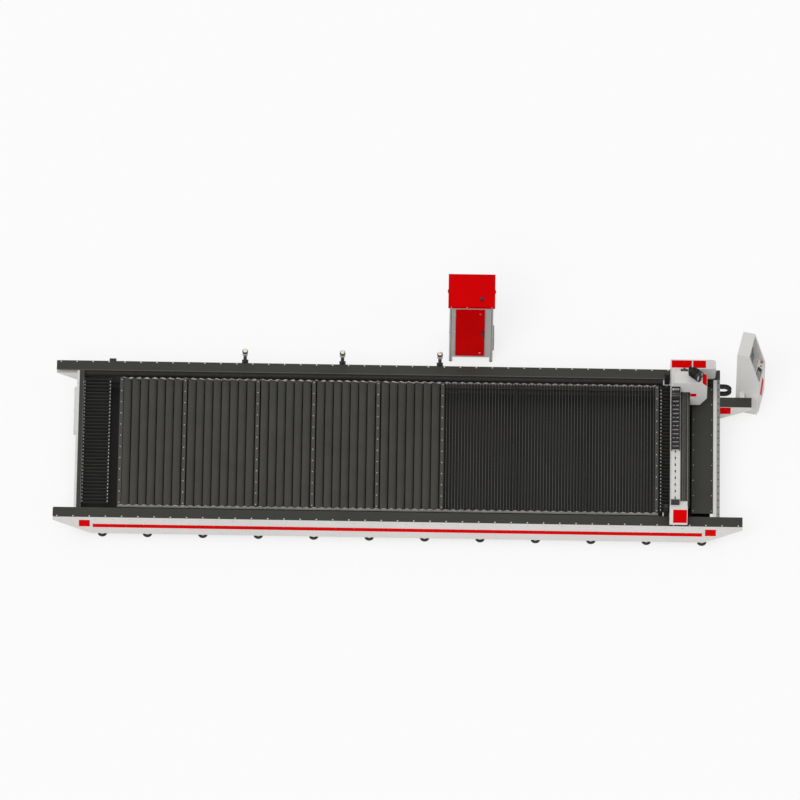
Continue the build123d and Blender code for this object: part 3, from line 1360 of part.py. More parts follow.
# Screw of the head slide
with BuildPart() as z_screw:
    with BuildSketch(Plane((screw_x, head_y, Z_SCREW_BOTTOM))):
        Circle(Z_SCREW_RADIUS)
    extrude(amount=Z_SHELF_BOTTOM - GUIDE_CLEARANCE - Z_SCREW_BOTTOM)
keep(z_screw, "z_screw")

# Drum-shaped work lamp in a yoke on top of the housing
lamp_place = (bed_x(LAMP_X), bed_y(LAMP_Y), HOUSING_TOP)
lamp_out = (cos(radians(LAMP_YAW)), sin(radians(LAMP_YAW)), 0)
lamp_axis_height = YOKE_SHEET + LAMP_GAP + LAMP_RADIUS
with BuildPart(Plane(lamp_place, x_dir=lamp_out, z_dir=(0, 0, 1))) as work_lamp:
    with Locations((0, 0, YOKE_SHEET / 2)):
        Box(LAMP_LENGTH + 2 * YOKE_SHEET, YOKE_WIDTH, YOKE_SHEET)
    arm_height = lamp_axis_height + YOKE_WIDTH / 2 - YOKE_SHEET
    with Locations((0, 0, YOKE_SHEET + arm_height / 2)):
        with GridLocations(LAMP_LENGTH + YOKE_SHEET, 0, 2, 1):
            Box(YOKE_SHEET, YOKE_WIDTH, arm_height)
    with Locations((0, 0, lamp_axis_height)):
        Cylinder(LAMP_RADIUS, LAMP_LENGTH, rotation=(0, 90, 0))
keep(work_lamp, "work_lamp")

# Head slide: a plate that wraps the rails, with the bore of the screw nut
slide_x0 = plate_x1 + SLIDE_GAP
slide_x1 = screw_x + Z_PLATE_WALL
with BuildPart() as z_plate:
    slab(
        (slide_x0, slide_x1),
        (head_y - HEAD_SLIDE_WIDTH / 2, head_y + HEAD_SLIDE_WIDTH / 2),
        (Z_PLATE_BOTTOM, Z_PLATE_TOP),
    )
    for rail_y in (head_y - Z_RAIL_SPREAD, head_y + Z_RAIL_SPREAD):
        slab(
            (slide_x0, plate_x1 + Z_RAIL_HEIGHT + GUIDE_CLEARANCE),
            (rail_y - Z_RAIL_WIDTH / 2 - GUIDE_CLEARANCE, rail_y + Z_RAIL_WIDTH / 2 + GUIDE_CLEARANCE),
            (Z_PLATE_BOTTOM, Z_PLATE_TOP),
            mode=Mode.SUBTRACT,
        )
    with Locations((screw_x, head_y, Z_PLATE_TOP)):
        Hole(Z_SCREW_RADIUS + GUIDE_CLEARANCE)
keep(z_plate, "z_plate")

# Cutting head: focus module, collimator and fiber receiver
head_x = slide_x1 + HEAD_SIZE / 2
with BuildPart() as cutting_head:
    with BuildSketch(Plane((head_x, head_y, FOCUS_BOTTOM))):
        RectangleRounded(HEAD_SIZE, HEAD_SIZE, HEAD_CORNER)
    extrude(amount=COLLIMATOR_BOTTOM - FOCUS_BOTTOM)
    with BuildSketch(Plane((head_x, head_y, COLLIMATOR_BOTTOM))):
        Rectangle(HEAD_SIZE * COLLIMATOR_SHARE, HEAD_SIZE * COLLIMATOR_SHARE)
    extrude(amount=COLLIMATOR_TOP - COLLIMATOR_BOTTOM)
    with BuildSketch(Plane((head_x, head_y, COLLIMATOR_TOP))):
        Circle(RECEIVER_RADIUS)
    extrude(amount=RECEIVER_TOP - COLLIMATOR_TOP)
keep(cutting_head, "cutting_head")

# Nozzle: sensor ring with grip flats, cone and the gas orifice through its middle
with BuildPart() as nozzle:
    with BuildSketch(Plane((head_x, head_y, SENSOR_BOTTOM))):
        RegularPolygon(SENSOR_RADIUS, NOZZLE_GRIPS)
    extrude(amount=FOCUS_BOTTOM - SENSOR_BOTTOM)
    with BuildSketch(Plane((head_x, head_y, NOZZLE_TIP))):
        RegularPolygon(NOZZLE_TIP_RADIUS, NOZZLE_GRIPS)
    with BuildSketch(Plane((head_x, head_y, SENSOR_BOTTOM))):
        RegularPolygon(NOZZLE_RADIUS, NOZZLE_GRIPS)
    loft(ruled=True)
    with Locations((head_x, head_y, FOCUS_BOTTOM)):
        Hole(ORIFICE_RADIUS)
keep(nozzle, "nozzle")

# Console body: one outline with two cheeks and a recess for screen and desk
console_plane = Plane(console_point(0, 0, 0), x_dir=CONSOLE_OUT, z_dir=-CONSOLE_ACROSS)
recess_top = CONSOLE_HEIGHT - CHEEK_SHEET
with BuildPart() as console_body:
    with BuildSketch(console_plane):
        profile(
            [
                (0, 0),
                (0, CONSOLE_HEIGHT),
                (CONSOLE_ROOF, CONSOLE_HEIGHT),
                (CONSOLE_DEPTH, CONSOLE_DESK_HEIGHT),
                (CONSOLE_DEPTH, PLINTH_HEIGHT),
                (CONSOLE_DEPTH - PLINTH_INSET, PLINTH_HEIGHT),
                (CONSOLE_DEPTH - PLINTH_INSET, 0),
            ]
        )
    extrude(amount=-CONSOLE_WIDTH)
    with BuildSketch(console_plane.offset(-CHEEK_SHEET)):
        profile(
            [
                (RECESS_ROOF, recess_top),
                (CONSOLE_DEPTH, recess_top),
                (CONSOLE_DEPTH, CONSOLE_DESK_HEIGHT),
                (CONSOLE_WAIST, CONSOLE_WAIST_HEIGHT),
                (RECESS_FOOT, RECESS_SILL),
            ]
        )
    extrude(amount=-(CONSOLE_WIDTH - 2 * CHEEK_SHEET), mode=Mode.SUBTRACT)
keep(console_body, "console_body")

# Screen in its bezel at the back of the recess, and the keyboard on the desk
screen_length = hypot(RECESS_FOOT - RECESS_ROOF, recess_top - RECESS_SILL)
screen_tilt = atan2(RECESS_FOOT - RECESS_ROOF, recess_top - RECESS_SILL)
screen_plane = console_face(
    (RECESS_ROOF + RECESS_FOOT) / 2, (recess_top + RECESS_SILL) / 2, cos(screen_tilt), sin(screen_tilt)
)
bezel_width = CONSOLE_WIDTH - 2 * CHEEK_SHEET - 2 * BEZEL_MARGIN
bezel_height = screen_length - 2 * BEZEL_MARGIN
desk_run = CONSOLE_DEPTH - CONSOLE_WAIST
desk_fall = CONSOLE_WAIST_HEIGHT - CONSOLE_DESK_HEIGHT
desk_length = hypot(desk_run, desk_fall)
desk_plane = console_face(
    CONSOLE_WAIST + desk_run / 2,
    CONSOLE_WAIST_HEIGHT - desk_fall / 2,
    desk_fall / desk_length,
    desk_run / desk_length,
)
with BuildPart() as console_display:
    with BuildSketch(screen_plane):
        Rectangle(bezel_width, bezel_height)
    extrude(amount=BEZEL_SHEET)
    with BuildSketch(screen_plane.offset(BEZEL_SHEET)):
        Rectangle(bezel_width - 2 * SCREEN_MARGIN, bezel_height - 2 * SCREEN_MARGIN)
    extrude(amount=-SCREEN_SHEET, mode=Mode.SUBTRACT)
    with BuildSketch(desk_plane.offset(PANEL_SHEET)):
        with Locations((-KEYBOARD_OFFSET, 0)):
            Rectangle(KEYBOARD_WIDTH, KEYBOARD_DEPTH)
    extrude(amount=KEYBOARD_SHEET)
keep(console_display, "console_display")

with BuildPart() as console_screen:
    with BuildSketch(screen_plane.offset(BEZEL_SHEET - SCREEN_SHEET)):
        Rectangle(bezel_width - 2 * SCREEN_MARGIN, bezel_height - 2 * SCREEN_MARGIN)
    extrude(amount=SCREEN_SHEET)
keep(console_screen, "console_screen")

# Sloping control panel with the bores of the push buttons
button_places = {"start_button": START_OFFSET, "emergency_stop": STOP_OFFSET}
with BuildPart() as console_panel:
    with BuildSketch(desk_plane):
        Rectangle(CONSOLE_WIDTH - 2 * CHEEK_SHEET - PANEL_MARGIN, desk_length - PANEL_MARGIN)
        with Locations(*((place, 0) for place in button_places.values())):
            Circle(STEM_RADIUS + BORE_CLEARANCE, mode=Mode.SUBTRACT)
    extrude(amount=PANEL_SHEET)
keep(console_panel, "console_panel")

# Push buttons: a head above the panel and a stem in its bore
button_radii = {"start_button": BUTTON_RADIUS, "emergency_stop": MUSHROOM_RADIUS}
for name, place in button_places.items():
    with BuildPart() as button:
        with BuildSketch(desk_plane.offset(PANEL_SHEET + BUTTON_GAP)):
            with Locations((place, 0)):
                Circle(button_radii[name])
        extrude(amount=BUTTON_HEAD)
        with BuildSketch(desk_plane.offset(PANEL_SHEET - STEM_LENGTH)):
            with Locations((place, 0)):
                Circle(STEM_RADIUS)
        extrude(amount=STEM_LENGTH + BUTTON_GAP)
    keep(button, name)

# Cabinet frame of square profiles, with the door hinges on its left stile
door_x0 = CAB_X0 + DOOR_START
door_x1 = door_x0 + DOOR_WIDTH
door_back = CAB_Y0 - SEAT_CLEARANCE
hinge_x = door_x0 - HINGE_RADIUS - SEAT_CLEARANCE
hinge_y = door_back - DOOR_SHEET / 2
inner_x = (CAB_X0 + POST_SIZE, CAB_X1 - POST_SIZE)
inner_y = (CAB_Y0 + POST_SIZE, CAB_Y1 - POST_SIZE)
rail_floor = CABINET_FLOOR + POST_SIZE
rail_roof = CABINET_HEIGHT - POST_SIZE
hinge_span = DOOR_TOP - DOOR_BOTTOM
hinge_heights = [
    DOOR_BOTTOM + hinge_span * share for share in (HINGE_INSET_SHARE, 0.5, 1 - HINGE_INSET_SHARE)
]
with BuildPart() as cabinet_frame:
    for post_x in (CAB_X0, inner_x[1]):
        for post_y in (CAB_Y0, inner_y[1]):
            slab((post_x, post_x + POST_SIZE), (post_y, post_y + POST_SIZE), (CABINET_FOOT, CABINET_HEIGHT))
    for rail_z in (CABINET_FLOOR, rail_roof):
        rail_span = (rail_z, rail_z + POST_SIZE)
        for rail_y in (CAB_Y0, inner_y[1]):
            slab(inner_x, (rail_y, rail_y + POST_SIZE), rail_span)
        for rail_x in (CAB_X0, inner_x[1]):
            slab((rail_x, rail_x + POST_SIZE), inner_y, rail_span)
    for height in hinge_heights:
        with BuildSketch(Plane((hinge_x, hinge_y, height - HINGE_LENGTH / 2))):
            Circle(HINGE_RADIUS)
        extrude(amount=HINGE_LENGTH)
        slab(
            (hinge_x - HINGE_LEAF, hinge_x),
            (hinge_y, CAB_Y0),
            (height - HINGE_LENGTH / 2, height + HINGE_LENGTH / 2),
        )
keep(cabinet_frame, "cabinet_frame")

# Cabinet sheets: sides, back, floor, shelves, the front surround and the side cooler
with BuildPart() as cabinet_panels:
    sheet_z = (rail_floor, rail_roof)
    for sheet_x in (CAB_X0 + PANEL_INSET, CAB_X1 - PANEL_INSET - PANEL_SKIN):
        slab((sheet_x, sheet_x + PANEL_SKIN), inner_y, sheet_z)
    slab(inner_x, (CAB_Y1 - PANEL_INSET - PANEL_SKIN, CAB_Y1 - PANEL_INSET), sheet_z)
    stile_y = (CAB_Y0, CAB_Y0 + STILE_SHEET)
    opening_x = (door_x0 - DOOR_GAP, door_x1 + DOOR_GAP)
    slab((inner_x[0], opening_x[0]), stile_y, sheet_z)
    slab((opening_x[1], inner_x[1]), stile_y, sheet_z)
    slab(opening_x, stile_y, (rail_floor, DOOR_BOTTOM - DOOR_GAP))
    slab(opening_x, stile_y, (DOOR_TOP + DOOR_GAP, rail_roof))
    side_x = (CAB_X0 + PANEL_INSET + PANEL_SKIN, CAB_X1 - PANEL_INSET - PANEL_SKIN)
    for index in range(SOURCE_COUNT):
        shelf_z = rail_floor + index * (SOURCE_HEIGHT + SOURCE_GAP)
        slab(side_x, inner_y, (shelf_z, shelf_z + SHELF_SHEET))
    cooler_y = CAB_Y0 + COOLER_START
    slab(
        (CAB_X1 - PANEL_INSET, CAB_X1 - PANEL_INSET + COOLER_DEPTH),
        (cooler_y, cooler_y + COOLER_WIDTH),
        (COOLER_BOTTOM, COOLER_BOTTOM + COOLER_HEIGHT),
    )
keep(cabinet_panels, "cabinet_panels")

# Laser source modules on the shelves
with BuildPart() as laser_modules:
    source_x = (CAB_X0 + CAB_X1) / 2
    source_y1 = inner_y[1] - SOURCE_GAP
    for index in range(SOURCE_COUNT):
        shelf_z = rail_floor + index * (SOURCE_HEIGHT + SOURCE_GAP) + SHELF_SHEET
        slab(
            (source_x - SOURCE_WIDTH / 2, source_x + SOURCE_WIDTH / 2),
            (source_y1 - SOURCE_DEPTH, source_y1),
            (shelf_z, shelf_z + SOURCE_HEIGHT),
        )
keep(laser_modules, "laser_modules")

# Red hood: a shallow lid with skirts, open below
with BuildPart() as cabinet_hood:
    slab(
        (CAB_X0 - HOOD_OVERHANG, CAB_X1 + HOOD_OVERHANG),
        (CAB_Y0 - HOOD_OVERHANG, CAB_Y1 + HOOD_OVERHANG),
        (HOOD_TOP - HOOD_SKIRT, HOOD_TOP),
    )
    offset(
        amount=-HOOD_SHEET,
        openings=cabinet_hood.faces().sort_by(Axis.Z)[0],
        mode=Mode.REPLACE,
    )
keep(cabinet_hood, "cabinet_hood")

# Red front door and its bar handle
with BuildPart() as cabinet_door:
    slab((door_x0, door_x1), (door_back - DOOR_SHEET, door_back), (DOOR_BOTTOM, DOOR_TOP))
keep(cabinet_door, "cabinet_door")

with BuildPart() as door_handle:
    handle_x = door_x1 - 2 * HANDLE_WIDTH
    handle_z = (DOOR_BOTTOM + DOOR_TOP) / 2
    door_face = door_back - DOOR_SHEET
    with BuildSketch(Plane((handle_x, 0, 0), x_dir=(0, 1, 0), z_dir=(1, 0, 0))):
        with Locations((door_face - HANDLE_REACH / 2, handle_z)):
            Rectangle(HANDLE_REACH, HANDLE_HEIGHT)
        with Locations((door_face - (HANDLE_REACH - HANDLE_BAR) / 2, handle_z)):
            Rectangle(HANDLE_REACH - HANDLE_BAR, HANDLE_HEIGHT - 2 * HANDLE_BAR, mode=Mode.SUBTRACT)
    extrude(amount=HANDLE_WIDTH)
keep(door_handle, "door_handle")
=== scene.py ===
"""Looks of a long flatbed fiber laser cutting machine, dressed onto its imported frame."""

import logging
import math
from collections.abc import Mapping, Sequence
from dataclasses import dataclass, field
from enum import Enum
from typing import Any

import bmesh
import bpy
from mathutils import Matrix, Vector


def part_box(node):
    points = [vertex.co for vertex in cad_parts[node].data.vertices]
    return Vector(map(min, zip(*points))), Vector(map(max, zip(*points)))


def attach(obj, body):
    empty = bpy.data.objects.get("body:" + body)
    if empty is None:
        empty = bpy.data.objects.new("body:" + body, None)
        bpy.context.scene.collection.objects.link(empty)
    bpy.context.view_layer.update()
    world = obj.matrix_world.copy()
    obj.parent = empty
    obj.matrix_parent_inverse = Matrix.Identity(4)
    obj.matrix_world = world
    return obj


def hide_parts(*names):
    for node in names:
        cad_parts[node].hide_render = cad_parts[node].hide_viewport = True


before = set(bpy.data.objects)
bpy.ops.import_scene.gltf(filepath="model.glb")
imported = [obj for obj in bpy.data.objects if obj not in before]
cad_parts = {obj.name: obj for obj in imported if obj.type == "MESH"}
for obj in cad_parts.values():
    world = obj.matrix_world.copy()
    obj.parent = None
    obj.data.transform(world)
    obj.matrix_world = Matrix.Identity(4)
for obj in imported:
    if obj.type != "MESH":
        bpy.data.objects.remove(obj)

LOG = logging.getLogger("laser_cutter")
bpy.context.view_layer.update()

Point = tuple[float, float, float]
Colour = tuple[float, float, float]
Box = tuple[Vector, Vector]
Span = tuple[float, float]

SEAM_BAR: float = 0.003
SEAM_SKIN: float = 0.0008
SHARP_ANGLE: float = 32.0


class Wire:
    """A node's output socket that shader maths can be written on."""

    def __init__(self, graph: "Graph", socket: bpy.types.NodeSocket) -> None:
        """Keep the socket and the graph that new Math nodes go into."""
        self.graph = graph
        self.socket = socket

    def maths(self, operation: str, first: Any, second: Any) -> "Wire":
        """Add one Math node.

        Args:
            operation: Blender's name of the operation.
            first: Wire or number for the first input.
            second: Wire or number for the second input.

        Returns:
            The result as a wire.
        """
        return self.graph.add("ShaderNodeMath", {"operation": operation}, {0: first, 1: second})

    def __add__(self, other: Any) -> "Wire":
        """Sum of this value and another."""
        return self.maths("ADD", self, other)

    def __radd__(self, other: Any) -> "Wire":
        """Sum of another value and this one."""
        return self.maths("ADD", other, self)

    def __sub__(self, other: Any) -> "Wire":
        """This value less another."""
        return self.maths("SUBTRACT", self, other)

    def __rsub__(self, other: Any) -> "Wire":
        """Another value less this one."""
        return self.maths("SUBTRACT", other, self)

    def __mul__(self, other: Any) -> "Wire":
        """Product of this value and another."""
        return self.maths("MULTIPLY", self, other)

    def __rmul__(self, other: Any) -> "Wire":
        """Product of another value and this one."""
        return self.maths("MULTIPLY", other, self)

    def __gt__(self, other: Any) -> "Wire":
        """1 where this value is the greater, else 0."""
        return self.maths("GREATER_THAN", self, other)

    def __lt__(self, other: Any) -> "Wire":
        """1 where this value is the smaller, else 0."""
        return self.maths("LESS_THAN", self, other)

    def __or__(self, other: Any) -> "Wire":
        """The greater of this value and another."""
        return self.maths("MAXIMUM", self, other)

    def __ror__(self, other: Any) -> "Wire":
        """The greater of another value and this one."""
        return self.maths("MAXIMUM", other, self)


class Graph:
    """Node tree of one material or world."""

    def __init__(self, owner: bpy.types.Material | bpy.types.World) -> None:
        """Empty the owner's tree.

        Args:
            owner: New material or world that the nodes are for.
        """
        owner.use_nodes = True
        self.owner = owner
        self.tree = owner.node_tree
        self.tree.nodes.clear()

    def add(
        self,
        kind: str,
        settings: Mapping[str, Any] | None = None,
        inputs: Mapping[int | str, Any] | None = None,
        output: int | str = 0,
    ) -> Wire:
        """Add a node, set it up and join its inputs.

        Args:
            kind: Blender's type name of the node.
            settings: Properties to set first; "stops" fills a colour ramp.
            inputs: Values or wires by socket name or number.
            output: Socket that the returned wire carries.

        Returns:
            The chosen output as a wire; an end node gives its first input.
        """
        node = self.tree.nodes.new(kind)
        for key, value in (settings or {}).items():
            if key == "stops":
                ramp = node.color_ramp.elements
                for index, (position, level) in enumerate(value):
                    stop = ramp[index] if index < 2 else ramp.new(position)
                    stop.position = position
                    stop.color = (level, level, level, 1.0)
            else:
                setattr(node, key, value)
        for key, value in (inputs or {}).items():
            if isinstance(value, Wire):
                self.tree.links.new(value.socket, node.inputs[key])
            else:
                node.inputs[key].default_value = value
        return Wire(self, node.outputs[output] if node.outputs else node.inputs[0])

    def place(self) -> Wire:
        """Position on the piece in metres."""
        return self.add("ShaderNodeTexCoord", output="Object")

    def stretch(self, place: Wire, scale: Point) -> Wire:
        """Position scaled by its own amount along each axis.

        Args:
            place: Position to scale.
            scale: Factors along X, Y and Z.

        Returns:
            The scaled position.
        """
        return self.add("ShaderNodeVectorMath", {"operation": "MULTIPLY"}, {0: place, 1: scale})

    def axis(self, place: Wire, name: str) -> Wire:
        """One coordinate of a position, by the name of its axis."""
        return self.add("ShaderNodeSeparateXYZ", {}, {0: place}, name)

    def noise(self, place: Wire, scale: float, detail: float = 3.0, roughness: float = 0.55) -> Wire:
        """Cloudy value around a half.

        Args:
            place: Position to read.
            scale: Clouds to the metre.
            detail: Octaves of finer clouds.
            roughness: Strength of the finer clouds.

        Returns:
            A value from 0 to 1.
        """
        return self.add(
            "ShaderNodeTexNoise",
            {},
            {"Vector": place, "Scale": scale, "Detail": detail, "Roughness": roughness},
        )

    def ramp(self, value: Wire, stops: Sequence[Span]) -> Wire:
        """Value reshaped by the stops of a ramp.

        Args:
            value: Value to reshape.
            stops: Positions and the value at each.

        Returns:
            The reshaped value.
        """
        return self.add("ShaderNodeValToRGB", {"stops": stops}, {0: value})

    def blend(self, share: Any, low: Any, high: Any) -> Wire:
        """Colour between two others.

        Args:
            share: Wire or number, 0 for the low colour and 1 for the high one.
            low: Colour or wire.
            high: Colour or wire.

        Returns:
            The mixed colour.
        """
        settings = {"data_type": "RGBA"}
        return self.add("ShaderNodeMix", settings, {0: share, 6: rgba(low), 7: rgba(high)}, 2)

    def bump(self, height: Wire, strength: float, distance: float) -> Wire:
        """Normal that follows a height.

        Args:
            height: Height over the surface, from 0 to 1.
            strength: Share of the effect.
            distance: Depth in metres.

        Returns:
            The bent normal.
        """
        inputs = {"Strength": strength, "Distance": distance, "Height": height}
        return self.add("ShaderNodeBump", {}, inputs)

    def surface(self, inputs: Mapping[int | str, Any]) -> bpy.types.Material:
        """Close the graph with a principled shader.

        Args:
            inputs: Values or wires of the shader's sockets.

        Returns:
            The finished material.
        """
        self.close(self.add("ShaderNodeBsdfPrincipled", {}, inputs))
        return self.owner

    def close(self, shader: Wire) -> None:
        """Join a shader to the end node of the material or world."""
        ends = {"MATERIAL": "ShaderNodeOutputMaterial", "WORLD": "ShaderNodeOutputWorld"}
        self.add(ends[self.owner.id_type], {}, {"Surface": shader})


def rgba(colour: Any) -> Any:
    """Colour with full opacity, or a wire as it is."""
    return colour if isinstance(colour, Wire) else (*colour, 1.0)


def shade(colour: Colour, share: float) -> Colour:
    """Colour made darker or lighter by a share."""
    return tuple(min(1.0, channel * share) for channel in colour)


class Grain(Enum):
    """Direction that the streaks of a worked metal run in."""

    ALONG_X = (1.5, 60.0, 60.0)
    ALONG_Y = (60.0, 1.5, 60.0)
    ALONG_Z = (60.0, 60.0, 1.5)


@dataclass(frozen=True)
class Finish:
    """Name and main colour that every finish has."""

    name: str
    colour: Colour

    def begin(self) -> tuple[Graph, Wire]:
        """Graph of the new material, and the position on the piece in it."""
        graph = Graph(bpy.data.materials.new(self.name))
        return graph, graph.place()


@dataclass(frozen=True)
class PowderCoat(Finish):
    """Baked powder paint with a faint orange peel, dust and, inside the bed, painted shade."""

    roughness: float = 0.42
    drift: float = 0.05
    gloss: float = 0.35
    # Painted shade inside the bed: the spans along X and Y, and the share of the colour left there.
    shade_spans: tuple[Span, ...] = ()
    shade_level: float = 0.045
    peel_scale: float = 380.0
    peel_depth: float = 0.0006

    def material(self) -> bpy.types.Material:
        """Build the paint and return it."""
        graph, place = self.begin()
        dust = graph.noise(place, 19.0, 5.0, 0.62)
        tone = graph.noise(place, 1.3, 3.0) * 0.6 + dust * 0.4
        share = graph.ramp(tone, [(0.34, 0.0), (0.66, 1.0)])
        low = shade(self.colour, 1.0 - self.drift)
        high = shade(self.colour, 1.0 + self.drift * 0.5)
        colour = graph.blend(share, low, high)
        # Inside the bed spans the colour is darkened as painted shade on the beams' inner faces, varied a
        # little by the dust.
        if self.shade_spans:
            shade_share = dust * 0.12 + 0.88
            for axis, (start, end) in zip("XY", self.shade_spans):
                along = graph.axis(place, axis)
                shade_share = shade_share * (along > start) * (along < end)
            colour = graph.blend(shade_share, colour, shade(self.colour, self.shade_level))
        return graph.surface(
            {
                "Base Color": colour,
                "Roughness": dust * 0.18 + (self.roughness - 0.09),
                "Specular IOR Level": self.gloss,
                "Normal": graph.bump(graph.noise(place, self.peel_scale, 2.0), 0.22, self.peel_depth),
            }
        )


@dataclass(frozen=True)
class MillSteel(Finish):
    """Hot-rolled steel with scale, scorch marks and cutting spatter.

    Its optional span gives the height above which it is paler, partly bare wear and partly painted highlight
    of a lit top, and how much paler it is there.
    """

    grain: Grain
    scorch: float = 0.35
    metallic: float = 0.3
    worn: Span | None = None
    spatter_scale: float = 55.0
    scale_depth: float = 0.0008

    def material(self) -> bpy.types.Material:
        """Build the steel and return it."""
        graph, place = self.begin()
        streak = graph.noise(graph.stretch(place, self.grain.value), 0.7, 4.0, 0.6)
        cloud = graph.noise(place, 2.1, 5.0, 0.6)
        spots = graph.ramp(
            graph.add("ShaderNodeTexVoronoi", {}, {"Vector": place, "Scale": self.spatter_scale}),
            [(0.06, 1.0), (0.16, 0.0)],
        )
        share = graph.ramp(streak * 0.55 + cloud * 0.45, [(0.36, 0.0), (0.64, 1.0)])
        plain = graph.blend(share, shade(self.colour, 0.78), shade(self.colour, 1.22))
        brown = (self.colour[0] * 1.25, self.colour[1] * 0.98, self.colour[2] * 0.78)
        tinted = graph.blend(graph.ramp(cloud, [(0.5, 0.0), (0.72, self.scorch)]), plain, brown)
        beads = graph.blend(spots * cloud * 0.5, tinted, shade(self.colour, 2.1))
        # Above that height the colour is paler: partly bare wear, partly painted highlight on the lit tops.
        if self.worn:
            level, gain = self.worn
            beads = graph.blend(graph.axis(place, "Z") > level, beads, shade(self.colour, gain))
        height = streak * 0.5 + spots * 0.5
        return graph.surface(
            {
                "Base Color": beads,
                "Metallic": self.metallic,
                "Roughness": streak * 0.22 + 0.44,
                "Normal": graph.bump(height, 0.3, self.scale_depth),
            }
        )


@dataclass(frozen=True)
class WorkedMetal(Finish):
    """Ground, brushed or turned bare metal."""

    grain: Grain
    roughness: float = 0.32

    def material(self) -> bpy.types.Material:
        """Build the metal and return it."""
        graph, place = self.begin()
        streak = graph.noise(graph.stretch(place, self.grain.value), 12.0, 3.0, 0.7)
        smear = graph.noise(place, 7.0, 4.0)
        share = streak * 0.6 + smear * 0.4
        return graph.surface(
            {
                "Base Color": graph.blend(share, shade(self.colour, 0.86), shade(self.colour, 1.08)),
                "Metallic": 0.92,
                "Roughness": smear * 0.16 + streak * 0.1 + (self.roughness - 0.13),
                "Normal": graph.bump(streak, 0.12, 0.0003),
            }
        )


@dataclass(frozen=True)
class Moulded(Finish):
    """Moulded plastic or rubber with a fine spark-eroded grain."""

    roughness: float = 0.5
    grain_size: float = 900.0

    def material(self) -> bpy.types.Material:
        """Build the plastic and return it."""
        graph, place = self.begin()
        scuff = graph.noise(place, 31.0, 5.0, 0.65)
        share = graph.ramp(scuff, [(0.4, 0.0), (0.75, 1.0)])
        return graph.surface(
            {
                "Base Color": graph.blend(share, self.colour, shade(self.colour, 1.35)),
                "Roughness": scuff * 0.2 + (self.roughness - 0.1),
                "Normal": graph.bump(graph.noise(place, self.grain_size, 2.0), 0.2, 0.0004),
            }
        )


@dataclass(frozen=True)
class Glazed(Finish):
    """Clear-coated glass or enamel with faint wipe marks."""

    def material(self) -> bpy.types.Material:
        """Build the glaze and return it."""
        graph, place = self.begin()
        wipe = graph.noise(graph.stretch(place, Grain.ALONG_Y.value), 1.6, 3.0)
        return graph.surface(
            {
                "Base Color": graph.blend(wipe, shade(self.colour, 0.9), shade(self.colour, 1.15)),
                "Roughness": wipe * 0.12 + 0.06,
                "Coat Weight": wipe * 0.3 + 0.6,
            }
        )


WHITE_PAINT: Colour = (0.66, 0.645, 0.625)
BED_SPANS: tuple[Span, Span] = ((-6.33, 5.85), (-2.487, 1.163))
# Slat tips: height and gain of the paler band, partly wear and partly painted highlight on the lit tops.
SLAT_WEAR_AND_LIGHT: Span = (0.578, 2.9)


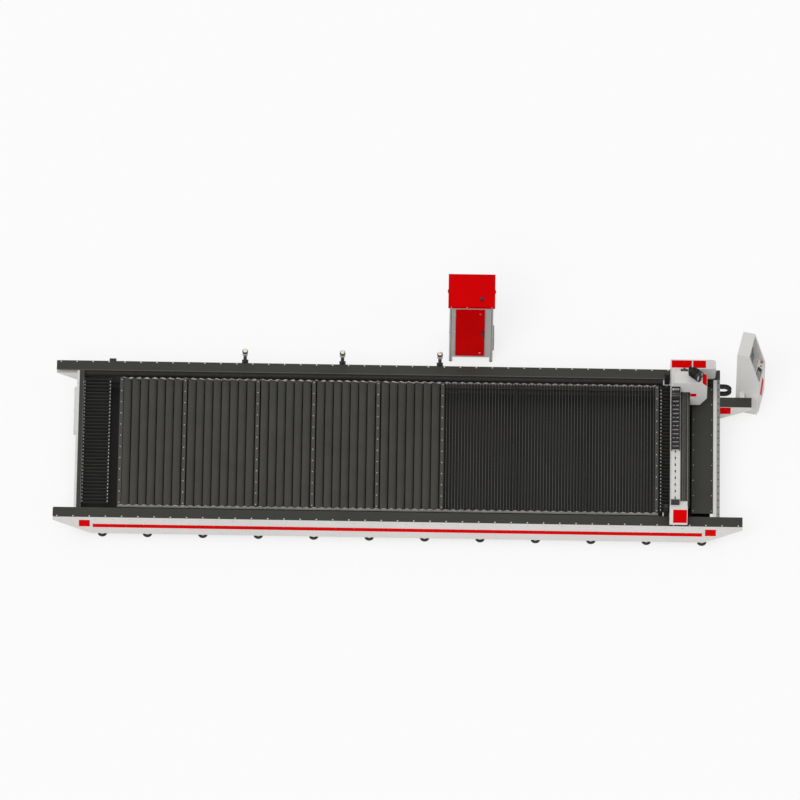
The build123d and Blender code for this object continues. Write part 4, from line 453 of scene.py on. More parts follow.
class Tone(Enum):
    """Every finish on the machine."""

    WHITE = PowderCoat("white_powder_coat", WHITE_PAINT)
    # Beam paint with painted shade on its faces inside the bed.
    SMOKED = PowderCoat("white_coat_painted_shade", WHITE_PAINT, shade_spans=BED_SPANS)
    GREY = PowderCoat("cabinet_grey_coat", (0.47, 0.47, 0.455))
    CAPPING = PowderCoat("wall_capping_coat", (0.25, 0.25, 0.245))
    PANEL = PowderCoat("control_panel_coat", (0.20, 0.20, 0.20), 0.5)
    RED = PowderCoat("red_powder_coat", (0.64, 0.0004, 0.0012), 0.5, 0.08, 0.02)
    COVER = PowderCoat("rail_cover_coat", (0.040, 0.040, 0.034), 0.5, 0.12, 0.2)
    # Painted highlight: the pale strip on the rear cover's inner fold edge.
    FOLD = PowderCoat("cover_fold_highlight", (0.085, 0.083, 0.074), 0.45, 0.12, 0.2)
    BLACK = PowderCoat("black_coat", (0.016, 0.016, 0.016), 0.46, 0.2)
    SEAM = PowderCoat("shadow_seam", (0.045, 0.045, 0.045), 0.7, 0.3, 0.1)
    LOUVRE = MillSteel("louvre_steel", (0.043, 0.042, 0.036), Grain.ALONG_Y)
    # The slats' near-black body is painted shade between the slats; the paler tips are wear and painted
    # highlight.
    SLAT = MillSteel("slat_steel", (0.050, 0.049, 0.045), Grain.ALONG_Y, worn=SLAT_WEAR_AND_LIGHT)
    GRATE = MillSteel("grate_steel", (0.043, 0.044, 0.039), Grain.ALONG_X)
    COMB = MillSteel("comb_steel", (0.10, 0.098, 0.09), Grain.ALONG_X)
    CREST = MillSteel("bare_crest_steel", (0.62, 0.61, 0.57), Grain.ALONG_Z, 0.3, 0.1)
    # Painted shade: the floor under the slats is kept near black.
    FLOOR = MillSteel("slag_floor_steel", (0.010, 0.0095, 0.009), Grain.ALONG_X, 0.5)
    BAR = MillSteel("joint_bar_steel", (0.052, 0.051, 0.046), Grain.ALONG_Y, 0.25)
    # Painted shade: the chain trough is given dark steel so the corridor behind the bed reads dark.
    TROUGH = MillSteel("trough_painted_shade", (0.030, 0.030, 0.028), Grain.ALONG_X, 0.2)
    RAIL = MillSteel("oiled_rail_steel", (0.045, 0.043, 0.038), Grain.ALONG_X, 0.3, 0.4)
    CROSS_RAIL = MillSteel("oiled_cross_rail", (0.060, 0.054, 0.044), Grain.ALONG_Y, 0.3, 0.5)
    GUIDE = WorkedMetal("guide_steel", (0.56, 0.56, 0.55), Grain.ALONG_X)
    CROSS_GUIDE = WorkedMetal("cross_guide_steel", (0.56, 0.56, 0.55), Grain.ALONG_Y)
    ALUMINIUM = WorkedMetal("brushed_aluminium", (0.66, 0.66, 0.66), Grain.ALONG_Y, 0.36)
    ANODISED = WorkedMetal("anodised_head", (0.26, 0.26, 0.27), Grain.ALONG_Z, 0.4)
    NICKEL = WorkedMetal("nickel_plating", (0.80, 0.75, 0.66), Grain.ALONG_Z, 0.24)
    BRASS = WorkedMetal("turned_brass", (0.72, 0.44, 0.20), Grain.ALONG_Z, 0.25)
    BOLT = WorkedMetal("zinc_bolts", (0.60, 0.60, 0.57), Grain.ALONG_Z, 0.34)
    CHAIN = Moulded("chain_plastic", (0.016, 0.016, 0.017), 0.52)
    RUBBER = Moulded("foot_rubber", (0.02, 0.02, 0.02), 0.7, 500.0)
    DISPLAY = Moulded("display_plastic", (0.11, 0.11, 0.115), 0.45)
    KEYS = Moulded("key_plastic", (0.30, 0.30, 0.30), 0.5)
    CERAMIC = Moulded("ceramic_ring", (0.70, 0.68, 0.64), 0.35)
    SCREEN = Glazed("screen_glass", (0.012, 0.016, 0.024))
    GREEN = Glazed("green_button_cap", (0.01, 0.22, 0.035))
    SIGNAL_RED = Glazed("red_button_cap", (0.46, 0.004, 0.004))
    YELLOW = Glazed("yellow_collar", (0.70, 0.42, 0.01))
    LENS = Glazed("lamp_lens", (0.55, 0.57, 0.58))

    def material(self) -> bpy.types.Material:
        """The finish's material, built once."""
        found = bpy.data.materials.get(self.value.name)
        return found or self.value.material()


@dataclass
class Shape:
    """Points and faces of one piece while it is made."""

    points: list[Vector] = field(default_factory=list)
    faces: list[tuple[int, ...]] = field(default_factory=list)

    def absorb(self, mesh: bmesh.types.BMesh, place: Matrix) -> None:
        """Take over a finished bmesh.

        Args:
            mesh: Geometry to copy; it is freed.
            place: Where it goes.
        """
        start = len(self.points)
        mesh.verts.index_update()
        self.points.extend(place @ vert.co for vert in mesh.verts)
        self.faces.extend(tuple(start + vert.index for vert in face.verts) for face in mesh.faces)
        mesh.free()

    def block(self, low: Point, high: Point, edge: float = 0.0, place: Matrix | None = None) -> None:
        """Add a square piece with eased edges.

        Args:
            low: Lowest corner.
            high: Highest corner.
            edge: Width of the rounding.
            place: Extra transform of the whole piece.
        """
        mesh = bmesh.new()
        size = Vector(high) - Vector(low)
        bmesh.ops.create_cube(mesh, size=1.0)
        for vert in mesh.verts:
            vert.co = Vector(low) + Vector(axis * (c + 0.5) for axis, c in zip(size, vert.co))
        if edge:
            bmesh.ops.bevel(
                mesh, geom=mesh.edges[:], offset=edge, segments=2, profile=0.6, affect="EDGES"
            )
        self.absorb(mesh, place or Matrix())

    def prism(self, outline: Sequence[Point], along: Vector) -> None:
        """Add a closed prism.

        Args:
            outline: Corner points of one end, in order.
            along: Way from that end to the other.
        """
        start = len(self.points)
        count = len(outline)
        self.points.extend(Vector(point) for point in outline)
        self.points.extend(Vector(point) + along for point in outline)
        self.faces.append(tuple(range(start, start + count)))
        self.faces.append(tuple(range(start + 2 * count - 1, start + count - 1, -1)))
        for index in range(count):
            after = (index + 1) % count
            self.faces.append(
                (start + index, start + count + index, start + count + after, start + after)
            )

    def turned(self, rings: Sequence[Span], place: Matrix, sides: int = 24, ripple: float = 0.0) -> None:
        """Add a turned piece around the local Z axis.

        Args:
            rings: Radius and height of each ring, from one end to the other.
            place: Where the axis goes.
            sides: Corners of each ring; six gives a hexagon.
            ripple: Share that every second corner is drawn in by, for a grip.
        """
        start = len(self.points)
        for radius, height in rings:
            for index in range(sides):
                turn = 2.0 * math.pi * index / sides
                reach = radius * (1.0 - ripple * (index % 2))
                self.points.append(place @ Vector((reach * math.cos(turn), reach * math.sin(turn), height)))
        for ring in range(len(rings) - 1):
            for index in range(sides):
                after = (index + 1) % sides
                low, high = start + ring * sides, start + (ring + 1) * sides
                self.faces.append((low + index, low + after, high + after, high + index))
        last = start + (len(rings) - 1) * sides
        self.faces.append(tuple(range(start + sides - 1, start - 1, -1)))
        self.faces.append(tuple(range(last, last + sides)))

    def hoop(self, place: Matrix, radius: float, wire: float) -> None:
        """Add a ring of round wire in the local XY plane.

        Args:
            place: Middle and plane of the ring.
            radius: Radius to the middle of the wire.
            wire: Radius of the wire.
        """
        start, around, section = len(self.points), 30, 6
        for index in range(around):
            turn = 2.0 * math.pi * index / around
            for corner in range(section):
                bend = 2.0 * math.pi * corner / section
                reach = radius + wire * math.cos(bend)
                spot = Vector((reach * math.cos(turn), reach * math.sin(turn), wire * math.sin(bend)))
                self.points.append(place @ spot)
        for index in range(around):
            here, there = start + index * section, start + (index + 1) % around * section
            for corner in range(section):
                after = (corner + 1) % section
                self.faces.append((here + corner, there + corner, there + after, here + after))

    def rim(self, place: Matrix, width: float, height: float, bar: float, thick: float) -> None:
        """Add a mitred rectangular rim that stands on the local XY plane.

        Args:
            place: Middle and plane of the rim.
            width: Outer size along local X.
            height: Outer size along local Y.
            bar: Width of the rim's bars.
            thick: How far the rim stands up.
        """
        start = len(self.points)
        signs = ((-1, -1), (1, -1), (1, 1), (-1, 1))
        for inset, level in ((0.0, 0.0), (0.0, thick), (bar, thick), (bar, 0.0)):
            x, y = width / 2.0 - inset, height / 2.0 - inset
            self.points.extend(place @ Vector((a * x, b * y, level)) for a, b in signs)
        for ring in range(4):
            here, there = start + ring * 4, start + (ring + 1) % 4 * 4
            for side in range(4):
                after = (side + 1) % 4
                self.faces.append((here + side, here + after, there + after, there + side))

    def seam(self, place: Matrix, width: float, height: float) -> None:
        """Add the thin rim that marks the seam round a lid."""
        self.rim(place, width, height, SEAM_BAR, SEAM_SKIN)

    def vents(self, place: Matrix, width: float, count: int, pitch: float, depth: float) -> None:
        """Add a column of pressed vent hoods on the local XY plane, stacked along Y.

        Args:
            place: Middle of the column's lower edge.
            width: Length of each hood.
            count: Number of hoods.
            pitch: Distance between hoods.
            depth: How far each hood stands out.
        """
        for index in range(count):
            low = index * pitch
            section = [(low, 0.0), (low + 0.66 * pitch, 0.0), (low + 0.12 * pitch, depth), (low, depth)]
            outline = [place @ Vector((-width / 2.0, y, z)) for y, z in section]
            self.prism(outline, place.to_3x3() @ Vector((width, 0.0, 0.0)))

    def bolt(self, spot: Point, facing: Point, radius: float) -> None:
        """Add a hexagon bolt head on a washer.

        Args:
            spot: Middle of the washer's seat.
            facing: Way that the head points.
            radius: Radius of the head over its corners.
        """
        place = aim(spot, facing)
        washer = [(1.35 * radius, 0.0), (1.35 * radius, 0.2 * radius), (1.2 * radius, 0.28 * radius)]
        self.turned(washer, place, 14)
        rings = [(radius, 0.28 * radius), (radius, 0.85 * radius), (0.86 * radius, radius)]
        self.turned(rings, place, 6)

    def screw(self, spot: Point, facing: Point, radius: float) -> None:
        """Add a domed socket screw.

        Args:
            spot: Middle of the seat.
            facing: Way that the head points.
            radius: Radius of the head.
        """
        rings = [
            (radius, 0.0),
            (radius, 0.2 * radius),
            (0.75 * radius, 0.5 * radius),
            (0.45 * radius, 0.58 * radius),
            (0.42 * radius, 0.3 * radius),
        ]
        self.turned(rings, aim(spot, facing), 12)

    def servo(self, place: Matrix, size: float, length: float) -> None:
        """Add a servo motor on the local XY plane: flange, ribbed body, end bell and two plugs.

        Args:
            place: Middle of the flange, with the motor along local Z.
            size: Width over the flange.
            length: Length from flange to end bell.
        """
        half, body, bell = size / 2.0, size * 0.44, size * 0.40
        bell_low = 0.74 * length
        self.block((-half, -half, 0.0), (half, half, 0.1 * size), 0.03 * size, place)
        self.block((-body, -body, 0.1 * size), (body, body, bell_low), 0.09 * size, place)
        for height in spread(0.2 * length, 0.66 * length, 0.11 * length):
            rib = 0.47 * size
            self.block((-rib, -rib, height), (rib, rib, height + 0.03 * length), 0.012 * size, place)
        self.block((-bell, -bell, bell_low), (bell, bell, length), 0.1 * size, place)
        for height in (0.8 * length, 0.92 * length):
            plug = place @ aim((-bell, 0.0, height), (-1.0, 0.0, 0.35))
            rings = [(0.13 * size, -0.05 * size), (0.13 * size, 0.12 * size), (0.1 * size, 0.14 * size)]
            self.turned([*rings, (0.1 * size, 0.24 * size), (0.06 * size, 0.28 * size)], plug, 16)
        corner, out = 0.42 * size, place.to_3x3().col[2]
        for x in (-corner, corner):
            for y in (-corner, corner):
                self.bolt(place @ Vector((x, y, 0.1 * size)), out, 0.045 * size)

    def lock(self, place: Matrix, radius: float, rise: float, edge: float) -> None:
        """Add a quarter-turn lock, a barrel with a raised tongue, on the local XY plane.

        Args:
            place: Middle and plane of the lock.
            radius: Radius of its barrel.
            rise: Height of the barrel below its eased rim.
            edge: Rounding of the tongue.
        """
        top = rise + 0.002
        self.turned([(radius, 0.0), (radius, rise), (radius - 0.003, top)], place, 24)
        self.block((-0.002, -0.010, top), (0.002, 0.010, top + 0.003), edge, place)

    def pin(self, spot: Point, facing: Point, radius: float, tip: float) -> None:
        """Add the eased head of a chain pin.

        Args:
            spot: Middle of the head's seat.
            facing: Way that the head points.
            radius: Radius of the head.
            tip: Radius of its end.
        """
        self.turned([(radius, 0.0), (radius, 0.0018), (tip, 0.0028)], aim(spot, facing), 18)

    def settle(self, name: str, body: str, tone: Tone, slot: str, *nodes: str) -> None:
        """Turn the shape into a piece that rides on a body.

        Args:
            name: Name of the piece.
            body: Body that it moves with.
            tone: Its finish.
            slot: The record's material slot; not used.
            nodes: CAD nodes that the piece stands for.
        """
        mesh = bpy.data.meshes.new(name)
        mesh.from_pydata(self.points, [], self.faces)
        mesh.validate()
        work = bmesh.new()
        work.from_mesh(mesh)
        bmesh.ops.recalc_face_normals(work, faces=work.faces)
        work.to_mesh(mesh)
        work.free()
        mesh.polygons.foreach_set("use_smooth", [True] * len(mesh.polygons))
        mesh.set_sharp_from_angle(angle=math.radians(SHARP_ANGLE))
        mesh.materials.append(tone.material())
        piece = bpy.data.objects.new(name, mesh)
        bpy.context.scene.collection.objects.link(piece)
        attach(piece, body)
        for node in nodes:
            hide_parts(node)
        LOG.info("made %s with %d faces", name, len(mesh.polygons))


def aim(spot: Point, facing: Point) -> Matrix:
    """Transform that puts local Z at a spot, along a direction."""
    return Matrix.Translation(spot) @ Vector(facing).to_track_quat("Z", "Y").to_matrix().to_4x4()


def seat(spot: Point, across: Point, up: Point) -> Matrix:
    """Transform of a plane at a spot, with local X across it and local Y up it.

    Args:
        spot: Origin of the plane.
        across: Direction of local X.
        up: Direction of local Y, square to local X.

    Returns:
        The transform; local Z stands out of the plane.
    """
    x, y = Vector(across).normalized(), Vector(up).normalized()
    z = x.cross(y)
    return Matrix([(x[i], y[i], z[i], spot[i]) for i in range(3)] + [(0.0, 0.0, 0.0, 1.0)])


def stand(low: Vector, high: Vector) -> Matrix:
    """Transform to the middle of a box's underside."""
    return Matrix.Translation(((low.x + high.x) / 2.0, (low.y + high.y) / 2.0, low.z))


def scaled(profile: Sequence[Span], radius: float, rise: float) -> list[Span]:
    """Rings of a profile that is drawn for a radius and a height of 1."""
    return [(radius * reach, rise * up) for reach, up in profile]


def spread(low: float, high: float, pitch: float, inset: float = 0.0) -> list[float]:
    """Evenly spaced places between two limits, about a pitch apart.

    Args:
        low: Lower limit.
        high: Upper limit.
        pitch: Distance to come near to.
        inset: How far the end places keep from the limits.

    Returns:
        The places, from low to high.
    """
    low, high = low + inset, high - inset
    count = max(1, round((high - low) / pitch))
    return [low + (high - low) * index / count for index in range(count + 1)]


def paint(tone: Tone, *nodes: str) -> None:
    """Give CAD nodes a finish."""
    for node in nodes:
        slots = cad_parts[node].data.materials
        slots.clear()
        slots.append(tone.material())


def solids(node: str) -> list[Box]:
    """Boxes of the separate solids in a CAD node.

    Args:
        node: Name of the node.

    Returns:
        Lowest and highest corner of each solid, in order along X and then Y.
    """
    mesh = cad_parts[node].data
    known: dict[tuple[float, ...], int] = {}
    ids = [known.setdefault(tuple(round(c, 4) for c in vert.co), len(known)) for vert in mesh.vertices]
    leader = list(range(len(known)))

    def top(index: int) -> int:
        """Leading corner of the solid that a corner is on."""
        while leader[index] != index:
            index = leader[index]
        return index

    for face in mesh.polygons:
        first, *rest = (top(ids[index]) for index in face.vertices)
        for other in rest:
            leader[top(other)] = top(first)
    groups: dict[int, list[tuple[float, ...]]] = {}
    for corner, index in known.items():
        groups.setdefault(top(index), []).append(corner)
    boxes = [
        (Vector(tuple(map(min, zip(*group)))), Vector(tuple(map(max, zip(*group)))))
        for group in groups.values()
    ]
    return sorted(boxes, key=lambda box: (round(box[0].x, 3), round(box[0].y, 3)))


UP: Point = (0.0, 0.0, 1.0)
DOWN: Point = (0.0, 0.0, -1.0)
FRONT: Point = (0.0, -1.0, 0.0)
REAR: Point = (0.0, 1.0, 0.0)
LEFT: Point = (-1.0, 0.0, 0.0)
RIGHT: Point = (1.0, 0.0, 0.0)


@dataclass
class SlatBed:
    """Cutting bed: louvres, saw-edged slats, grates, combs and bars."""

    tooth_pitch: float = 0.042
    tooth_depth: float = 0.020
    bolt_radius: float = 0.0075
    bolt_pitch: float = 0.27
    crest_pitch: float = 0.146
    crest_sheet: float = 0.003
    crest_rise: float = 0.016
    crest_depth: float = 0.044
    crest_drop: float = 0.075
    point_sheet: float = 0.016
    point_reach: float = 0.014
    point_height: float = 0.030
    strip_gap: float = 0.001
    strip_sheet: float = 0.003
    bolt_inset: float = 0.05
    deck_inset: float = 0.03
    deck_end: float = 0.06
    deck_pitch: float = 0.36
    deck_screw: float = 0.009

    def dress(self) -> None:
        """Finish the bed's nodes and add its slats and bolts."""
        paint(Tone.LOUVRE, "louvre_slats")
        paint(Tone.GRATE, "grate_bars")
        paint(Tone.COMB, "bed_combs", "grate_combs")
        paint(Tone.BAR, "joint_bars")
        paint(Tone.FLOOR, "slag_floor", "cross_ties", "zone_partitions")
        paint(Tone.COVER, "deck_plate")
        self.saw_edged_slats()
        self.crests()
        self.floor_strips()
        self.bar_bolts()
        self.deck_screws()

    def saw_edged_slats(self) -> None:
        """Cut a row of points into the top of every upright slat."""
        shape = Shape()
        for low, high in solids("upright_slats"):
            count = int((high.y - low.y) / self.tooth_pitch)
            start = (low.y + high.y - count * self.tooth_pitch) / 2.0
            outline = [(low.x, low.y, low.z), (low.x, low.y, high.z), (low.x, start, high.z)]
            for tooth in range(count):
                valley = start + (tooth + 0.5) * self.tooth_pitch
                outline.append((low.x, valley, high.z - self.tooth_depth))
                outline.append((low.x, valley + 0.5 * self.tooth_pitch, high.z))
            outline += [(low.x, high.y, high.z), (low.x, high.y, low.z)]
            shape.prism(outline, Vector((high.x - low.x, 0.0, 0.0)))
        shape.settle("saw_edged_slats", "bed", Tone.SLAT, "bed_steel", "upright_slats")

    def crests(self) -> None:
        """Fix bare saw-toothed crests to the bed combs and bare points to the grate combs."""
        shape = Shape()
        low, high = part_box("bed_combs")
        length = high.x - low.x
        count = round(length / self.crest_pitch)
        top, foot = high.z + self.crest_rise, high.z - self.crest_drop
        valley = top - self.crest_depth
        for y in (low.y - self.crest_sheet, high.y):
            outline = [(low.x, y, foot), (low.x, y, valley)]
            for tooth in range(count):
                outline.append((low.x + length * (tooth + 0.5) / count, y, top))
                outline.append((low.x + length * (tooth + 1.0) / count, y, valley))
            outline.append((high.x, y, foot))
            shape.prism(outline, Vector((0.0, self.crest_sheet, 0.0)))
        self.grate_points(shape)
        shape.settle("comb_crests", "bed", Tone.CREST, "bed_steel")

    def grate_points(self, shape: Shape) -> None:
        """Add a bare point to each grate comb midway between two bars.

        Args:
            shape: Shape that takes the points.
        """
        rows = sorted({round((low.y + high.y) / 2.0, 4) for low, high in solids("grate_bars")})
        for index, (low, high) in enumerate(solids("grate_combs")):
            x = low.x - self.point_sheet if index % 2 else high.x
            base = high.z - self.point_height
            for first, second in zip(rows, rows[1:]):
                y = (first + second) / 2.0
                near, far = y - self.point_reach, y + self.point_reach
                outline = [(x, near, base), (x, y, high.z), (x, far, base)]
                shape.prism(outline, Vector((self.point_sheet, 0.0, 0.0)))

    def floor_strips(self) -> None:
        """Close the slag floor to the chain trough, to both beams and below the deck plate."""
        floor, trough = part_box("slag_floor"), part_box("chain_trough")
        left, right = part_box("left_end_wall")[1].x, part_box("right_end_wall")[0].x
        front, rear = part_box("front_rail_beam")[1].y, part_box("rear_rail_beam")[0].y
        shape, gap = Shape(), self.strip_gap
        base, top = floor[0].z, floor[0].z + self.strip_sheet
        for start, end in ((front, floor[0].y), (floor[1].y, trough[0].y), (trough[1].y, rear)):
            shape.block((left, start + gap, base), (right, end - gap, top), gap)
        shape.block((floor[1].x + gap, floor[0].y, base), (right, floor[1].y, top), gap)
        shape.settle("floor_edge_strips", "bed", Tone.FLOOR, "bed_steel")

    def bar_bolts(self) -> None:
        """Bolt every joint bar down along its middle."""
        shape = Shape()
        for low, high in solids("joint_bars"):
            for y in spread(low.y, high.y, self.bolt_pitch, self.bolt_inset):
                shape.bolt(((low.x + high.x) / 2.0, y, high.z), UP, self.bolt_radius)
        shape.settle("joint_bar_bolts", "bed", Tone.BOLT, "guide_steel")

    def deck_screws(self) -> None:
        """Screw the deck plate to its ledge and bearer."""
        low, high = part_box("deck_plate")
        shape = Shape()
        for x in (low.x + self.deck_inset, high.x - self.deck_inset):
            for y in spread(low.y, high.y, self.deck_pitch, self.deck_end):
                shape.screw((x, y, high.z), UP, self.deck_screw)
        shape.settle("deck_screws", "bed", Tone.BOLT, "guide_steel")


@dataclass
class RailBeams:
    """Two long beams with folded covers, end walls, gas couplings and levelling feet."""

    cover_pitch: float = 0.305
    side_pitch: float = 0.33
    upper_row: Span = (0.06, 0.15)
    lower_row: Span = (0.31, 0.40)
    screw_radius: float = 0.015
    section: float = 3.26
    seam_half: float = 0.002
    seam_skin: float = 0.0006
    # Width and lift of the painted highlight on the rear cover's fold.
    fold_width: float = 0.018
    fold_skin: float = 0.0005
    cover_inset: float = 0.022
    end_inset: float = 0.08
    flange_inset: float = 0.100
    flange_pitch: float = 0.24
    flange_bolt: float = 0.009
    wall_inset: float = 0.01
    seal_span: Span = (0.080, 0.002)
    seal_sheet: float = 0.003
    seal_pitch: float = 0.12
    seal_bolt: float = 0.006
    seal_bolt_inset: float = 0.022
    capping_width: float = 0.060
    capping_sheet: float = 0.004
    capping_pitch: float = 0.16
    capping_bolt: float = 0.010
    pad_height: float = 0.038
    pad_profile: tuple[Span, ...] = ((0.9, 0.0), (1.0, 0.12), (1.0, 0.62), (0.92, 0.86), (0.55, 1.0))
    grip_profile: tuple[Span, ...] = ((0.82, 0.0), (1.0, 0.06), (1.0, 0.44), (0.9, 0.5))
    dome_profile: tuple[Span, ...] = (
        (0.78, 0.5), (0.78, 0.62), (0.96, 0.66), (0.96, 0.84), (0.72, 0.88)
    )
    crown_profile: tuple[Span, ...] = ((0.72, 0.88), (0.72, 0.94), (0.64, 0.985), (0.4, 1.0))
    barb_count: int = 5
    barb_start: float = 0.03
    barb_pitch: float = 0.038
    box_locks: Span = (0.02, 0.52)
    box_lock_height: float = 0.58

    def dress(self) -> None:
        """Finish the beams and add their fittings."""
        # Both beams carry painted shade on their faces inside the bed.
        paint(Tone.SMOKED, "front_rail_beam", "rear_rail_beam")
        paint(Tone.WHITE, "left_end_wall", "right_end_wall", "rear_arm")
        # The trough's dark steel is painted shade in the corridor behind the bed.
        paint(Tone.TROUGH, "chain_trough")
        paint(Tone.COVER, "rail_covers")
        paint(Tone.RED, "red_trim")
        paint(Tone.RAIL, "x_guideways")
        paint(Tone.BLACK, "small_fittings")
        self.cover_screws()
        self.cover_seams()
        self.fold_highlight()
        self.side_screws()
        self.wall_seal()
        self.wall_capping()
        self.feet()
        self.couplings()
        self.service_box()

    def cover_screws(self) -> None:
        """Screw both covers down along their outer edges and bolt the left wall's flange."""
        shape = Shape()
        for (low, high), side in zip(self.long_covers(), (FRONT, REAR)):
            y = low.y + self.cover_inset if side is FRONT else high.y - self.cover_inset
            for x in spread(low.x, high.x, self.cover_pitch, self.end_inset):
                shape.screw((x, y, high.z), UP, self.screw_radius)
        low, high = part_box("left_end_wall")
        for y in spread(low.y, high.y, self.flange_pitch, self.end_inset):
            shape.bolt((high.x - self.flange_inset, y, high.z), UP, self.flange_bolt)
        shape.settle("cover_screws", "bed", Tone.BOLT, "guide_steel")

    def long_covers(self) -> list[Box]:
        """Boxes of the front and the rear cover."""
        return [box for box in solids("rail_covers") if box[1].x - box[0].x > self.section]

    def cover_seams(self) -> None:
        """Mark the butt joints between the folded lengths of each cover."""
        shape, half = Shape(), self.seam_half
        for low, high in self.long_covers():
            top = high.z + self.seam_skin
            for x in spread(low.x, high.x, self.section)[1:-1]:
                shape.block((x - half, low.y + half, high.z), (x + half, high.y - half, top))
        shape.settle("cover_seams", "bed", Tone.SEAM, "cover_paint")

    def fold_highlight(self) -> None:
        """Lay a pale strip along the inner edge of the rear cover: a painted highlight on its fold."""
        low, high = self.long_covers()[1]
        shape = Shape()
        top = high.z + self.fold_skin
        shape.block((low.x, low.y, high.z), (high.x, low.y + self.fold_width, top))
        shape.settle("cover_fold", "bed", Tone.FOLD, "cover_paint")

    def side_screws(self) -> None:
        """Set rows of screws along the outer faces of both beams."""
        shape = Shape()
        for node, facing in (("front_rail_beam", FRONT), ("rear_rail_beam", REAR)):
            low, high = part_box(node)
            y = low.y if facing is FRONT else high.y
            (drop, upper), (rise, lower) = self.upper_row, self.lower_row
            for height, inset in ((high.z - drop, upper), (low.z + rise, lower)):
                for x in spread(low.x, high.x, self.side_pitch, inset):
                    shape.screw((x, y, height), facing, self.screw_radius)
        shape.settle("beam_side_screws", "bed", Tone.BOLT, "guide_steel")

    def wall_seal(self) -> None:
        """Lay a dark sealing strip along the inner edge of the left wall's flange."""
        low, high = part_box("left_end_wall")
        shape, top = Shape(), high.z + self.seal_sheet
        left, right = (high.x - inset for inset in self.seal_span)
        front, rear = low.y + self.wall_inset, high.y - self.wall_inset
        shape.block((left, front, high.z), (right, rear, top), 0.001)
        for y in spread(low.y, high.y, self.seal_pitch, self.end_inset):
            shape.bolt((high.x - self.seal_bolt_inset, y, top), UP, self.seal_bolt)
        shape.settle("wall_seal", "bed", Tone.COVER, "cover_paint")

    def wall_capping(self) -> None:
        """Cap the outer edge of the right wall's flange with a bolted grey strip."""
        low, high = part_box("right_end_wall")
        strip, bolts, top = Shape(), Shape(), high.z + self.capping_sheet
        front, rear = low.y + self.wall_inset, high.y - self.wall_inset
        strip.block((high.x - self.capping_width, front, high.z), (high.x, rear, top), 0.0015)
        for y in spread(low.y, high.y, self.capping_pitch, self.end_inset):
            bolts.bolt((high.x - self.capping_width / 2.0, y, top), UP, self.capping_bolt)
        strip.settle("wall_capping", "bed", Tone.CAPPING, "grey_paint")
        bolts.settle("wall_capping_bolts", "bed", Tone.BLACK, "black_metal")

    def feet(self) -> None:
        """Turn the rubber pads and their threaded studs with lock nuts."""
        pads, studs = Shape(), Shape()
        for low, high in solids("levelling_feet"):
            middle = (low + high) / 2.0
            place = Matrix.Translation((middle.x, middle.y, 0.0))
            radius, top = (high.x - low.x) / 2.0, high.z
            pad_top = min(self.pad_height, top)
            pads.turned(scaled(self.pad_profile, radius, pad_top), place, 32)
            if top > pad_top:
                studs.turned([(0.050, pad_top), (0.044, 0.050), (0.026, 0.054), (0.026, top)], place)
                studs.turned([(0.044, top - 0.034), (0.046, top - 0.030), (0.046, top)], place, 6)
        pads.settle("foot_pads", "bed", Tone.RUBBER, "black_metal", "levelling_feet")
        studs.settle("foot_studs", "bed", Tone.BOLT, "guide_steel")

    def couplings(self) -> None:
        """Turn the grips, shells and crowns of the gas couplings and the ribs below them."""
        caps, domes, crowns, barbs = Shape(), Shape(), Shape(), Shape()
        for low, high in solids("coupling_caps"):
            place = stand(low, high)
            radius, rise = (high.x - low.x) / 2.0, high.z - low.z
            caps.turned(scaled(self.grip_profile, radius, rise), place, 48, 0.05)
            domes.turned(scaled(self.dome_profile, radius, rise), place, 40)
            crowns.turned(scaled(self.crown_profile, radius, rise), place, 40)
            for step in range(self.barb_count):
                drop = -self.barb_start - self.barb_pitch * step
                rings = [(0.026, -0.02), (0.034, -0.008), (0.034, 0.0), (0.026, 0.008)]
                barbs.turned([(reach, drop + up) for reach, up in rings], place)
        caps.settle("coupling_grips", "bed", Tone.ALUMINIUM, "bare_aluminium", "coupling_caps")
        domes.settle("coupling_domes", "bed", Tone.BLACK, "black_metal")
        crowns.settle("coupling_crowns", "bed", Tone.NICKEL, "bare_aluminium")
        barbs.settle("coupling_barbs", "bed", Tone.BLACK, "black_metal")

    def service_box(self) -> None:
        """Lock and screw down the lid of the service box on the left wall."""
        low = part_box("left_end_wall")[0]
        shape = Shape()
        for y in self.box_locks:
            shape.lock(aim((low.x, y, self.box_lock_height), LEFT), 0.016, 0.006, 0.0006)
        for y in spread(-0.36, 0.52, 0.44):
            shape.screw((low.x, y, 0.30 if y > -0.3 else 0.46), LEFT, 0.008)
        shape.settle("service_box_locks", "bed", Tone.BOLT, "guide_steel")


